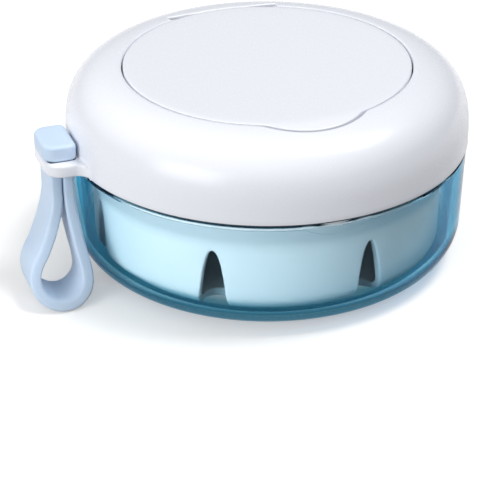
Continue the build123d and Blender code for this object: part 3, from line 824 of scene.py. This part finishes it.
def tinted_by_noise(nodes, links, shader, noise, colour, change):
    """Base colour that drifts a little with a noise."""
    low = [c * (1 - change) for c in colour]
    high = [min(c * (1 + change), 1) for c in colour]
    links.new(mixed_colour(nodes, links, noise.outputs["Fac"], low, high), shader.inputs["Base Color"])


def white_plastic(name, colour, roughness):
    """Semi-gloss moulded plastic."""
    material, nodes, links, shader = new_material(name)
    shader.inputs["IOR"].default_value = 1.49
    noise = add_speckle(nodes, links, shader, scale=3200, bump_height=0.0000012,
                        roughness_range=(roughness - 0.015, roughness + 0.015))
    tinted_by_noise(nodes, links, shader, noise, colour, change=0.003)
    return material


def ramp_between(nodes, links, value, start, end):
    """Smooth step from 0 at start to 1 at end."""
    ramp = nodes.new("ShaderNodeMapRange")
    ramp.interpolation_type = "SMOOTHSTEP"
    ramp.inputs["From Min"].default_value = start
    ramp.inputs["From Max"].default_value = end
    links.new(value, ramp.inputs["Value"])
    return ramp.outputs["Result"]


def tint_zone(nodes, links, height, radius, heights, radii):
    """1 where the height and the radius are both inside their spans, 0 outside."""
    return math_node(nodes, links, "MULTIPLY", ramp_between(nodes, links, height, *heights),
                     ramp_between(nodes, links, radius, *radii))


def bowl_colour(nodes, links, look):
    """Surface colour of the bowl: deeper along its walls, darker in its foot partly as painted shade of the
    shadowed floor, and painted near-black at its rim as the shade under the lid's edge.
    """
    place = nodes.new("ShaderNodeTexCoord")
    split = nodes.new("ShaderNodeSeparateXYZ")
    links.new(place.outputs["Object"], split.inputs["Vector"])
    flat = nodes.new("ShaderNodeVectorMath")
    flat.operation = "MULTIPLY"
    flat.inputs[1].default_value = (1, 1, 0)
    links.new(place.outputs["Object"], flat.inputs[0])
    reach = nodes.new("ShaderNodeVectorMath")
    reach.operation = "LENGTH"
    links.new(flat.outputs["Vector"], reach.inputs[0])
    where = (split.outputs["Z"], reach.outputs["Value"])
    in_foot_tint_and_shade = tint_zone(nodes, links, *where, FOOT_TINT_AND_SHADE_HEIGHTS, FOOT_TINT_AND_SHADE_RADII)
    # Where the rim's painted shade goes: its upper wall and its top, under the lid's edge.
    in_rim_shade = math_node(nodes, links, "MAXIMUM",
                       tint_zone(nodes, links, *where, RIM_WALL_SHADE_HEIGHTS, RIM_WALL_SHADE_RADII),
                       tint_zone(nodes, links, *where, RIM_TOP_SHADE_HEIGHTS, RIM_TOP_SHADE_RADII))
    facing = nodes.new("ShaderNodeLayerWeight")
    facing.inputs["Blend"].default_value = 0.5
    along_wall = ramp_between(nodes, links, facing.outputs["Facing"], *EDGE_TINT_SLANT)
    # The foot's colour, partly painted shade of the shadowed floor seen through it.
    foot = mixed_colour(nodes, links, in_foot_tint_and_shade, (1, 1, 1), look.foot_tint_and_shade)
    wall = mixed_colour(nodes, links, along_wall, foot, look.edge_tint)
    return mixed_colour(nodes, links, in_rim_shade, wall, look.rim_painted_shade)


def clear_plastic(name, look):
    """Clear tinted plastic that the lamps shine through, with the colour's square root at each face."""
    material, nodes, links, shader = new_material(name)
    colour = bowl_colour(nodes, links, look)
    links.new(colour, shader.inputs["Base Color"])
    shader.inputs["Specular Tint"].default_value = (*look.gloss_tint, 1)
    shader.inputs["Transmission Weight"].default_value = 1
    shader.inputs["IOR"].default_value = look.bowl_ior
    shader.inputs["Roughness"].default_value = 0
    each_face = nodes.new("ShaderNodeGamma")
    each_face.inputs["Gamma"].default_value = 0.5
    links.new(colour, each_face.inputs["Color"])
    through = nodes.new("ShaderNodeBsdfTransparent")
    links.new(each_face.outputs["Color"], through.inputs["Color"])
    depth = nodes.new("ShaderNodeVolumeAbsorption")
    depth.inputs["Color"].default_value = (*look.tint, 1)
    depth.inputs["Density"].default_value = look.tint_density
    links.new(depth.outputs["Volume"], nodes["Material Output"].inputs["Volume"])
    path = nodes.new("ShaderNodeLightPath")
    mix = nodes.new("ShaderNodeMixShader")
    links.new(path.outputs["Is Shadow Ray"], mix.inputs["Fac"])
    links.new(shader.outputs["BSDF"], mix.inputs[1])
    links.new(through.outputs["BSDF"], mix.inputs[2])
    links.new(mix.outputs["Shader"], nodes["Material Output"].inputs["Surface"])
    return material


def seen_directly(nodes, links):
    """1 for camera, glossy and transmission rays that have met nothing matt, 0 for light on the case."""
    path = nodes.new("ShaderNodeLightPath")
    seen = path.outputs["Is Camera Ray"]
    for kind in ("Is Glossy Ray", "Is Transmission Ray"):
        seen = math_node(nodes, links, "MAXIMUM", seen, path.outputs[kind])
    straight = math_node(nodes, links, "LESS_THAN", path.outputs["Diffuse Depth"], 0.5)
    return math_node(nodes, links, "MULTIPLY", seen, straight)


def silicone(name, colour, roughness):
    """Matt soft silicone with a faint sheen."""
    material, nodes, links, shader = new_material(name)
    shader.inputs["IOR"].default_value = 1.41
    shader.inputs["Subsurface Weight"].default_value = 0.15
    shader.inputs["Subsurface Radius"].default_value = (0.0016, 0.002, 0.0026)
    shader.inputs["Subsurface Scale"].default_value = 1
    shader.inputs["Sheen Weight"].default_value = 0.15
    shader.inputs["Sheen Roughness"].default_value = 0.5
    noise = add_speckle(nodes, links, shader, scale=1600, bump_height=0.00003,
                        roughness_range=(roughness - 0.05, roughness + 0.05))
    tinted_by_noise(nodes, links, shader, noise, colour, change=0.02)
    return material


def plain_metal(name, colour, roughness):
    """Drawn steel, or silvering where it is smooth."""
    material, nodes, links, shader = new_material(name)
    shader.inputs["Metallic"].default_value = 1
    noise = add_speckle(nodes, links, shader, scale=2500, bump_height=0.000002,
                        roughness_range=(roughness, roughness + 0.02))
    tinted_by_noise(nodes, links, shader, noise, colour, change=0.01)
    return material


def material_of(name):
    """A material by its name, made when it is first asked for."""
    found = bpy.data.materials.get(name)
    if found:
        return found
    look = bpy.context.scene.case_finish
    makers = {
        "lid_white": lambda: white_plastic(name, look.white, look.white_roughness),
        "basket_white": lambda: white_plastic(name, look.basket, 0.35),
        "bowl_clear": lambda: clear_plastic(name, look),
        "strap_silicone": lambda: silicone(name, look.silicone, 0.45),
        "seal_silicone": lambda: silicone(name, look.seal, 0.4),
        "pin_steel": lambda: plain_metal(name, (0.62, 0.63, 0.65), 0.28),
        "mirror_silver": lambda: plain_metal(name, (0.90, 0.92, 0.93), 0.02),
        "tape_foil": lambda: white_plastic(name, (0.78, 0.78, 0.75), 0.6),
    }
    return makers[name]()


def dress(piece, body, material_name, node):
    """Gives a piece its material, the CAD node it stands for and, if any, its body."""
    piece.data.materials.clear()
    piece.data.materials.append(material_of(material_name))
    if body:
        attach(piece, body)
    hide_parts(node)


# ---------------------------------------------------------------------------- geometry nodes
def node_tree(name, inputs):
    """Geometry node group with geometry in and out, and inputs from (name, socket type, default)."""
    tree = bpy.data.node_groups.new(name, "GeometryNodeTree")
    tree.interface.new_socket("Geometry", in_out="INPUT", socket_type="NodeSocketGeometry")
    tree.interface.new_socket("Geometry", in_out="OUTPUT", socket_type="NodeSocketGeometry")
    for label, kind, default in inputs:
        socket = tree.interface.new_socket(label, in_out="INPUT", socket_type=kind)
        if default is not None:
            socket.default_value = default
    return tree


def set_inputs(modifier, values):
    """Sets a modifier's inputs by the identifiers of their sockets."""
    for item in modifier.node_group.interface.items_tree:
        if item.item_type == "SOCKET" and item.in_out == "INPUT" and item.name in values:
            modifier[item.identifier] = values[item.name]


def end_tree(tree, geometry, group_in):
    """Closes a tree with Realize Instances and Set Material."""
    nodes, links = tree.nodes, tree.links
    realize = nodes.new("GeometryNodeRealizeInstances")
    finish = nodes.new("GeometryNodeSetMaterial")
    group_out = nodes.new("NodeGroupOutput")
    links.new(geometry, realize.inputs["Geometry"])
    links.new(realize.outputs["Geometry"], finish.inputs["Geometry"])
    links.new(group_in.outputs["Material"], finish.inputs["Material"])
    links.new(finish.outputs["Geometry"], group_out.inputs["Geometry"])


def slotted_tree():
    """Cuts copies of one slot cutter, set evenly round Z, out of the basket."""
    tree = node_tree("drain_slots", [
        ("Cutter", "NodeSocketObject", None),
        ("Count", "NodeSocketInt", 7),
        ("First Angle", "NodeSocketFloat", 0.0),
        ("Material", "NodeSocketMaterial", None),
    ])
    nodes, links = tree.nodes, tree.links
    group_in = nodes.new("NodeGroupInput")
    points = nodes.new("GeometryNodePoints")
    links.new(group_in.outputs["Count"], points.inputs["Count"])
    cutter = nodes.new("GeometryNodeObjectInfo")
    links.new(group_in.outputs["Cutter"], cutter.inputs["Object"])
    index = nodes.new("GeometryNodeInputIndex")
    step = math_node(nodes, links, "DIVIDE", FULL_TURN, group_in.outputs["Count"])
    turn = math_node(nodes, links, "MULTIPLY_ADD", index.outputs["Index"], step,
                     group_in.outputs["First Angle"])
    rotation = nodes.new("ShaderNodeCombineXYZ")
    links.new(turn, rotation.inputs["Z"])
    copies = nodes.new("GeometryNodeInstanceOnPoints")
    links.new(points.outputs["Points"], copies.inputs["Points"])
    links.new(cutter.outputs["Geometry"], copies.inputs["Instance"])
    links.new(rotation.outputs["Vector"], copies.inputs["Rotation"])
    real = nodes.new("GeometryNodeRealizeInstances")
    links.new(copies.outputs["Instances"], real.inputs["Geometry"])
    cut = nodes.new("GeometryNodeMeshBoolean")
    cut.operation = "DIFFERENCE"
    cut.solver = "MANIFOLD"
    links.new(group_in.outputs["Geometry"], cut.inputs["Mesh 1"])
    links.new(real.outputs["Geometry"], cut.inputs["Mesh 2"])
    end_tree(tree, cut.outputs["Mesh"], group_in)
    return tree


def band_tree():
    """Sweeps a flat rounded band along an upright path and bends it to the front below a height."""
    tree = node_tree("strap_band", [
        ("Width", "NodeSocketFloat", 0.01),
        ("Thickness", "NodeSocketFloat", 0.0027),
        ("Edge Radius", "NodeSocketFloat", 0.0009),
        ("Lean", "NodeSocketFloat", 0.58),
        ("Lean From", "NodeSocketFloat", 0.03),
        ("Lean Length", "NodeSocketFloat", 0.01),
        ("Step", "NodeSocketFloat", 0.0008),
        ("Material", "NodeSocketMaterial", None),
    ])
    nodes, links = tree.nodes, tree.links
    group_in = nodes.new("NodeGroupInput")
    resample = nodes.new("GeometryNodeResampleCurve")
    resample.mode = "LENGTH"
    links.new(group_in.outputs["Geometry"], resample.inputs["Curve"])
    links.new(group_in.outputs["Step"], resample.inputs["Length"])
    section = nodes.new("GeometryNodeCurvePrimitiveQuadrilateral")
    links.new(group_in.outputs["Width"], section.inputs["Width"])
    links.new(group_in.outputs["Thickness"], section.inputs["Height"])
    soften = nodes.new("GeometryNodeFilletCurve")
    soften.mode = "POLY"
    soften.inputs["Count"].default_value = 5
    links.new(section.outputs["Curve"], soften.inputs["Curve"])
    links.new(group_in.outputs["Edge Radius"], soften.inputs["Radius"])
    sweep = nodes.new("GeometryNodeCurveToMesh")
    sweep.inputs["Fill Caps"].default_value = True
    links.new(resample.outputs["Curve"], sweep.inputs["Curve"])
    links.new(soften.outputs["Curve"], sweep.inputs["Profile Curve"])
    place = nodes.new("GeometryNodeInputPosition")
    split = nodes.new("ShaderNodeSeparateXYZ")
    links.new(place.outputs["Position"], split.inputs["Vector"])
    sums = partial(math_node, nodes, links)
    lean, bend = group_in.outputs["Lean"], group_in.outputs["Lean Length"]
    down = sums("MAXIMUM", sums("SUBTRACT", group_in.outputs["Lean From"], split.outputs["Z"]), 0)
    in_bend = sums("MINIMUM", down, bend)
    past_bend = sums("SUBTRACT", down, in_bend)
    bend_radius = sums("DIVIDE", bend, lean)
    turn = sums("DIVIDE", in_bend, bend_radius)
    sine, cosine = sums("SINE", turn), sums("COSINE", turn)
    forward = sums("MULTIPLY", bend_radius, sums("SUBTRACT", 1, cosine))
    forward = sums("MULTIPLY_ADD", past_bend, sine, forward)
    fall = sums("MULTIPLY_ADD", past_bend, cosine, sums("MULTIPLY", bend_radius, sine))
    offset = nodes.new("ShaderNodeCombineXYZ")
    links.new(sums("MULTIPLY", forward, -1), offset.inputs["Y"])
    links.new(sums("SUBTRACT", down, fall), offset.inputs["Z"])
    move = nodes.new("GeometryNodeSetPosition")
    links.new(sweep.outputs["Mesh"], move.inputs["Geometry"])
    links.new(offset.outputs["Vector"], move.inputs["Offset"])
    end_tree(tree, move.outputs["Geometry"], group_in)
    return tree


# ---------------------------------------------------------------------------- operators
class CASE_OT_bowl(bpy.types.Operator):
    """Makes the clear bowl with its ledge, thumb scoop and hinge knuckles"""

    bl_idname = "case.bowl"
    bl_label = "Clear bowl"

    def execute(self, context):
        size = context.scene.case_bowl
        rim = LID_RADIUS - size.rim_setback
        reach = size.scoop_radius - size.scoop_depth
        ball = Vector((rim + reach * math.cos(size.scoop_angle),
                       size.rim_z + reach * math.sin(size.scoop_angle)))
        body = turned("bowl_body", lambda angle: bowl_outline(size, rim, ball, angle), size.segments)
        lugs = []
        for side in (-1, 1):
            start_x, end_x = sorted(side * end for end in BOWL_KNUCKLE_ENDS)
            lugs += knuckle("bowl_knuckle", start_x, end_x, size.rim_z, -1, rim - size.rim_wall / 2)
        piece = finish_mesh("clear_bowl", joined("clear_bowl", [body] + lugs))
        dress(piece, "base", "bowl_clear", "base_bowl")
        return {"FINISHED"}


class CASE_OT_basket(bpy.types.Operator):
    """Makes the drain basket with its slots and lift tabs"""

    bl_idname = "case.basket"
    bl_label = "Drain basket"

    def execute(self, context):
        size = context.scene.case_basket
        bowl = context.scene.case_bowl
        flange = frame_mm("strainer_basket", 1, 0)
        low = frame_mm("strainer_basket", 0, 2) - size.sink
        ledge_z = bowl.rim_z - bowl.ledge
        flange_top = ledge_z + size.flange
        inner = size.side - size.wall
        ledge = LID_RADIUS - bowl.rim_setback - bowl.wall - bowl.draft * bowl.ledge / bowl.rim_z
        slope = (ledge - size.flare_clearance - size.side) / size.flare
        inner_flare_z = ledge_z - size.flare + size.wall * math.tan(math.atan(slope) / 2)
        mouth = inner + (flange_top - inner_flare_z) * slope
        body_outline = rounded([
            (0, low, 0), (size.side, low, size.corner), (size.side, ledge_z - size.flare, size.flare_bend),
            (ledge - size.flare_clearance, ledge_z, 0), (flange, ledge_z, 0.15), (flange, flange_top, 0.3),
            (mouth, flange_top, 0.8), (inner, inner_flare_z, size.flare_bend + size.wall),
            (inner, low + size.wall, size.corner - size.wall), (0, low + size.wall, 0)], 14)
        body = turned("basket_body", lambda angle: body_outline, size.segments)
        holder = finish_mesh("basket_holder", body)
        cutter = finish_mesh("slot_cutter", slot_cutter(size, low))
        modifier = holder.modifiers.new("slots", "NODES")
        modifier.node_group = slotted_tree()
        set_inputs(modifier, {"Cutter": cutter, "Count": size.slot_count, "First Angle": size.first_slot,
                              "Material": material_of("basket_white")})
        mesh = evaluated_mesh(holder, "drain_basket")
        bpy.data.objects.remove(cutter)
        piece = finish_mesh("drain_basket", joined("drain_basket", [mesh] + lift_tabs(inner, flange_top)))
        dress(piece, "base", "basket_white", "strainer_basket")
        return {"FINISHED"}


class CASE_OT_lid(bpy.types.Operator):
    """Makes the domed lid with its recess, ear and middle knuckle"""

    bl_idname = "case.lid"
    bl_label = "Domed lid"

    def execute(self, context):
        size = context.scene.case_lid
        strap = context.scene.case_strap
        body = turned("lid_body", lambda angle: lid_outline(size, angle), size.segments)
        lug = knuckle("lid_knuckle", *LID_KNUCKLE_ENDS, LID_EDGE_Z, 1, LID_RADIUS - size.wall / 2)
        ear_edge = 0.7
        ear = plate("strap_ear", [ear_outline(strap), ear_slot_outline(strap)], LID_EDGE_Z,
                    LID_EDGE_Z + strap.ear_thickness, ear_edge)
        piece = finish_mesh("domed_lid", joined("domed_lid", [body, ear] + lug))
        dress(piece, "lid", "lid_white", "lid_shell")
        return {"FINISHED"}


class CASE_OT_liner(bpy.types.Operator):
    """Makes the lid's liner with its lip and rib, and the flat seal round the rib"""

    bl_idname = "case.liner"
    bl_label = "Liner and seal"

    def execute(self, context):
        size = context.scene.case_lid
        inset, wall = size.wall + 0.2, 1.5
        rib_wall, seal_width, seal_room = 1.3, 5.0, 0.05
        lip_steps, dome_steps = 4, 16
        ceiling_z = LID_TOP_Z - size.recess - RECESS_FLOOR
        seal_low, seal_high = frame_mm("seal_ring", 0, 2), frame_mm("seal_ring", 1, 2)
        seal_out = frame_mm("seal_ring", 1, 0)
        rib_low = frame_mm("lid_liner", 0, 2)
        rib_out = seal_out - (seal_width + seal_room)
        rib_in = rib_out - rib_wall
        turns = [QUARTER_TURN * step / dome_steps for step in range(dome_steps + 1)]
        outer = [superellipse(size, inset, ceiling_z, turn) for turn in turns]
        inner = [superellipse(size, inset + wall, ceiling_z - wall, turn) for turn in turns]
        lip = rounded([(rib_in, rib_low, 0.2), (rib_out, rib_low, 0.2), (rib_out, LID_EDGE_Z, 0),
                       (LID_RADIUS - inset, LID_EDGE_Z, 0), (inner[0][0], LID_EDGE_Z + wall, 0.5),
                       (rib_in, LID_EDGE_Z + wall, 0.4)], lip_steps)
        below = 2 * (lip_steps + 1) + 2
        points = lip[:below] + outer + [(0, ceiling_z), (0, ceiling_z - wall)] + inner[::-1] + lip[below:]
        liner = finish_mesh("lid_liner_cup", turned("lid_liner_cup", lambda angle: points, size.segments))
        dress(liner, "lid", "lid_white", "lid_liner")

        seal_in = rib_out + seal_room
        ring = rounded([(seal_in, seal_low, 0.1), (seal_out, seal_low, 0.15),
                        (seal_out, seal_high, 0.15), (seal_in, seal_high, 0.1)], 4)
        seal = finish_mesh("lid_seal", turned("lid_seal", lambda angle: ring, size.segments))
        dress(seal, "lid", "seal_silicone", "seal_ring")
        return {"FINISHED"}


class CASE_OT_flap(bpy.types.Operator):
    """Makes the flush flap with its thumb lip, mirror frame and trunnions"""

    bl_idname = "case.flap"
    bl_label = "Mirror flap"

    def execute(self, context):
        size = context.scene.case_lid
        body = turned("flap_body", lambda angle: flap_outline(size, angle), size.segments)
        axis_y, axis_z = joint_mm("flap_hinge", 1), joint_mm("flap_hinge", 2)
        chord = hinge_chord(size)
        bars = []
        for side in (-1, 1):
            root = chord - 2 * size.trunnion_radius
            ends = sorted((side * root, side * (chord + size.pocket_margin + size.trunnion_seat)))
            bars.append(rod("trunnion", size.trunnion_radius, *ends, axis_y, axis_z, 0.15))
        piece = finish_mesh("mirror_cover", joined("mirror_cover", [body] + bars))
        dress(piece, "flap", "lid_white", "mirror_flap")
        return {"FINISHED"}


class CASE_OT_mirror(bpy.types.Operator):
    """Makes the round mirror with a ground edge, and finishes its adhesive disc"""

    bl_idname = "case.mirror"
    bl_label = "Mirror"

    def execute(self, context):
        low, high = frame_mm("mirror", 0, 2), frame_mm("mirror", 1, 2)
        radius = frame_mm("mirror", 1, 0)
        back_edge, ground_edge, segments = 0.15, 0.3, 192
        outline = rounded([(0, low, 0), (radius, low, ground_edge), (radius, high, back_edge),
                           (0, high, 0)], 3)
        piece = finish_mesh("round_mirror", turned("round_mirror", lambda angle: outline, segments))
        dress(piece, "flap", "mirror_silver", "mirror")
        tape = frame["nodes"]["mirror_tape"]
        tape.data.materials.clear()
        tape.data.materials.append(material_of("tape_foil"))
        return {"FINISHED"}


class CASE_OT_pin(bpy.types.Operator):
    """Makes the steel hinge pin"""

    bl_idname = "case.pin"
    bl_label = "Hinge pin"

    def execute(self, context):
        radius, bevel = 0.8, 0.15
        start_x, end_x = frame_mm("main_hinge_pin", 0, 0), frame_mm("main_hinge_pin", 1, 0)
        hinge_y, hinge_z = joint_mm("lid_hinge", 1), joint_mm("lid_hinge", 2)
        mesh = rod("hinge_pin", radius, start_x, end_x, hinge_y, hinge_z, bevel)
        dress(finish_mesh("hinge_pin", mesh), "base", "pin_steel", "main_hinge_pin")
        return {"FINISHED"}


class CASE_OT_strap(bpy.types.Operator):
    """Makes the silicone strap: the head on the ear and the band that loops below it"""

    bl_idname = "case.strap"
    bl_label = "Loop strap"

    def execute(self, context):
        size = context.scene.case_strap
        seat_z = LID_EDGE_Z + size.ear_thickness
        self.head(size, seat_z)
        self.band(size, seat_z)
        return {"FINISHED"}

    def head(self, size, seat_z):
        """Rounded block on the ear that keeps the strap from dropping through."""
        edge = 0.9
        low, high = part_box("strap_button")
        out_x, in_x, left_y, right_y = low.x / MM, high.x / MM, low.y / MM, high.y / MM
        corners = [(out_x, left_y, size.head_corner), (in_x, left_y, size.head_lid_corner),
                   (in_x, right_y, size.head_lid_corner), (out_x, right_y, size.head_corner)]
        mesh = plate("strap_head", [rounded(corners, 12)], seat_z, high.z / MM, edge)
        dress(finish_mesh("strap_head", mesh), "lid", "strap_silicone", "strap_button")

    def band(self, size, seat_z):
        """Band through the ear's slot, bent between the lid and the loop where it swings."""
        middle_x, axis_z = joint_mm("strap_swing", 0), joint_mm("strap_swing", 2)
        edge_radius, resampled_step, blend_below = 0.8, 0.7, 3
        curve = bpy.data.curves.new("strap_path", "CURVE")
        curve.dimensions = "3D"
        spline = curve.splines.new("BEZIER")
        stops = self.path(size, middle_x, axis_z, seat_z)
        spline.bezier_points.add(len(stops) - 1)
        for point, (x, z) in zip(spline.bezier_points, stops):
            point.co = (x * MM, 0, z * MM)
            point.handle_left_type = "AUTO"
            point.handle_right_type = "AUTO"
        spline.resolution_u = 24
        holder = bpy.data.objects.new("strap_path", curve)
        bpy.context.scene.collection.objects.link(holder)
        modifier = holder.modifiers.new("band", "NODES")
        modifier.node_group = band_tree()
        set_inputs(modifier, {
            "Width": size.width * MM,
            "Thickness": size.thickness * MM,
            "Edge Radius": edge_radius * MM,
            "Lean": size.lean,
            "Lean From": axis_z * MM,
            "Lean Length": size.lean_length * MM,
            "Step": resampled_step * MM,
            "Material": material_of("strap_silicone"),
        })
        piece = finish_mesh("strap_band", evaluated_mesh(holder, "strap_band"))
        dress(piece, None, "strap_silicone", "strap_loop")
        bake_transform(piece)

    def path(self, size, middle_x, axis_z, seat_z):
        """Middle line of the band before it leans: down the outer leg, round the loop, up the inner leg."""
        outer_degrees, inner_degrees, step_degrees = 157, 365, 26
        outer_bulge = ((0.35, 0.24), (0.7, 0.62))
        inner_bulge = ((0.3, 0.36), (0.65, 0.75))
        leg = (size.thickness + LEG_GAP) / 2
        outer_leg, inner_leg = middle_x - leg, middle_x + leg
        radius = size.loop_radius - size.thickness / 2
        loop_x = frame_mm("strap_loop", 0, 0) + size.loop_radius
        bend_radius = size.lean_length / size.lean
        drop = axis_z - frame_mm("strap_loop", 0, 2) - bend_radius * math.sin(size.lean)
        loop_z = axis_z - size.lean_length - drop / math.cos(size.lean) + size.loop_radius
        top_z, bend_z, neck_z = seat_z - 0.5, axis_z - 1, axis_z - 5

        def on_loop(degrees):
            """Point on the round end of the loop, counted from its inner side."""
            turn = math.radians(degrees)
            return loop_x + radius * math.cos(turn), loop_z + radius * math.sin(turn)

        def between(start, end, shares):
            """Points from start to end, by their shares of the height and of the way aside."""
            return [(start[0] + (end[0] - start[0]) * aside, start[1] + (end[1] - start[1]) * along)
                    for along, aside in shares]

        outer_neck, inner_neck = (outer_leg - 0.15, neck_z), (inner_leg + 0.05, neck_z)
        return ([(outer_leg, top_z), (outer_leg, bend_z), outer_neck]
                + between(outer_neck, on_loop(outer_degrees), outer_bulge)
                + [on_loop(degrees) for degrees in range(outer_degrees, inner_degrees + 1, step_degrees)]
                + between(on_loop(inner_degrees - 360), inner_neck, inner_bulge)
                + [inner_neck, (inner_leg, bend_z), (inner_leg, top_z)])


def aimed(name, data, place, target):
    """Camera or lamp that looks from a place at a target, put in the scene."""
    thing = bpy.data.objects.new(name, data)
    thing.location = place
    thing.rotation_euler = (Vector(target) - Vector(place)).to_track_quat("-Z", "Y").to_euler()
    bpy.context.scene.collection.objects.link(thing)
    return thing


class CASE_OT_stage(bpy.types.Operator):
    """Sets the camera, the floor, the lamps and the pale surroundings"""

    bl_idname = "case.stage"
    bl_label = "Stage"

    def execute(self, context):
        size = context.scene.case_stage
        data = bpy.data.cameras.new("camera")
        data.lens = size.lens
        data.clip_start, data.clip_end = 0.01, 50
        context.scene.camera = aimed("camera", data, size.camera, size.target)
        context.scene.view_settings.view_transform = "Standard"

        self.floor(size)
        for lamp in LAMPS:
            self.lamp(*lamp)
        self.surroundings(context, size.ambient)
        return {"FINISHED"}

    def floor(self, size):
        """Large pale floor that keeps the case's shadow and reads white to the eye."""
        half = size.floor_size
        corners = [(-half, -half, 0), (half, -half, 0), (half, half, 0), (-half, half, 0)]
        mesh = bpy.data.meshes.new("floor")
        mesh.from_pydata(corners, [], [(0, 1, 2, 3)])
        material, nodes, links, shader = new_material("floor_white")
        seen = seen_directly(nodes, links)
        colour = mixed_colour(nodes, links, seen, size.floor_bounce, size.floor_seen)
        links.new(colour, shader.inputs["Base Color"])
        shader.inputs["Roughness"].default_value = 0.9
        shader.inputs["Specular IOR Level"].default_value = 0.2
        shader.inputs["Emission Color"].default_value = (1, 1, 1, 1)
        glow = math_node(nodes, links, "MULTIPLY", seen, size.floor_glow)
        links.new(glow, shader.inputs["Emission Strength"])
        mesh.materials.append(material)
        floor = bpy.data.objects.new("floor", mesh)
        bpy.context.scene.collection.objects.link(floor)

    def lamp(self, name, place, spread, power):
        """Soft rectangular lamp that faces the case."""
        data = bpy.data.lights.new(name, "AREA")
        data.shape = "RECTANGLE"
        data.size, data.size_y = spread
        data.energy = power
        aimed(name, data, place, LAMP_TARGET)

    def surroundings(self, context, ambient):
        """Even soft light from all round, brighter on the key lamp's side."""
        world = bpy.data.worlds.new("studio")
        world.use_nodes = True
        nodes, links = world.node_tree.nodes, world.node_tree.links
        background = nodes["Background"]
        way = nodes.new("ShaderNodeTexCoord")
        towards = nodes.new("ShaderNodeVectorMath")
        towards.operation = "DOT_PRODUCT"
        towards.inputs[1].default_value = Vector(KEY_SIDE).normalized()
        links.new(way.outputs["Generated"], towards.inputs[0])
        share = ramp_between(nodes, links, towards.outputs["Value"], *KEY_SIDE_SPAN)
        shade = mixed_colour(nodes, links, share, FAR_SIDE_SHADE, (1, 1, 1))
        links.new(shade, background.inputs["Color"])
        background.inputs["Strength"].default_value = ambient
        context.scene.world = world


class CASE_PT_panel(bpy.types.Panel):
    """Lists the pieces of the case"""

    bl_idname = "CASE_PT_panel"
    bl_label = "Denture case"
    bl_space_type = "VIEW_3D"
    bl_region_type = "UI"
    bl_category = "Case"

    def draw(self, context):
        for operator in OPERATORS:
            self.layout.operator(operator.bl_idname)


SETTINGS = {
    "case_finish": CaseFinish,
    "case_bowl": BowlSettings,
    "case_basket": BasketSettings,
    "case_lid": LidSettings,
    "case_strap": StrapSettings,
    "case_stage": StageSettings,
}
OPERATORS = (CASE_OT_stage, CASE_OT_bowl, CASE_OT_basket, CASE_OT_lid, CASE_OT_liner, CASE_OT_flap,
             CASE_OT_mirror, CASE_OT_pin, CASE_OT_strap)


def register():
    """Adds the settings, the operators and the panel."""
    for name, group in SETTINGS.items():
        bpy.utils.register_class(group)
        setattr(bpy.types.Scene, name, bpy.props.PointerProperty(type=group))
    for operator in OPERATORS:
        bpy.utils.register_class(operator)
    bpy.utils.register_class(CASE_PT_panel)


def unregister():
    """Takes them out again, in the reverse order."""
    bpy.utils.unregister_class(CASE_PT_panel)
    for operator in reversed(OPERATORS):
        bpy.utils.unregister_class(operator)
    for name, group in reversed(list(SETTINGS.items())):
        delattr(bpy.types.Scene, name)
        bpy.utils.unregister_class(group)


def main():
    """Makes every piece in order."""
    register()
    for operator in OPERATORS:
        group, name = operator.bl_idname.split(".")
        getattr(getattr(bpy.ops, group), name)()


if __name__ == "__main__":
    main()
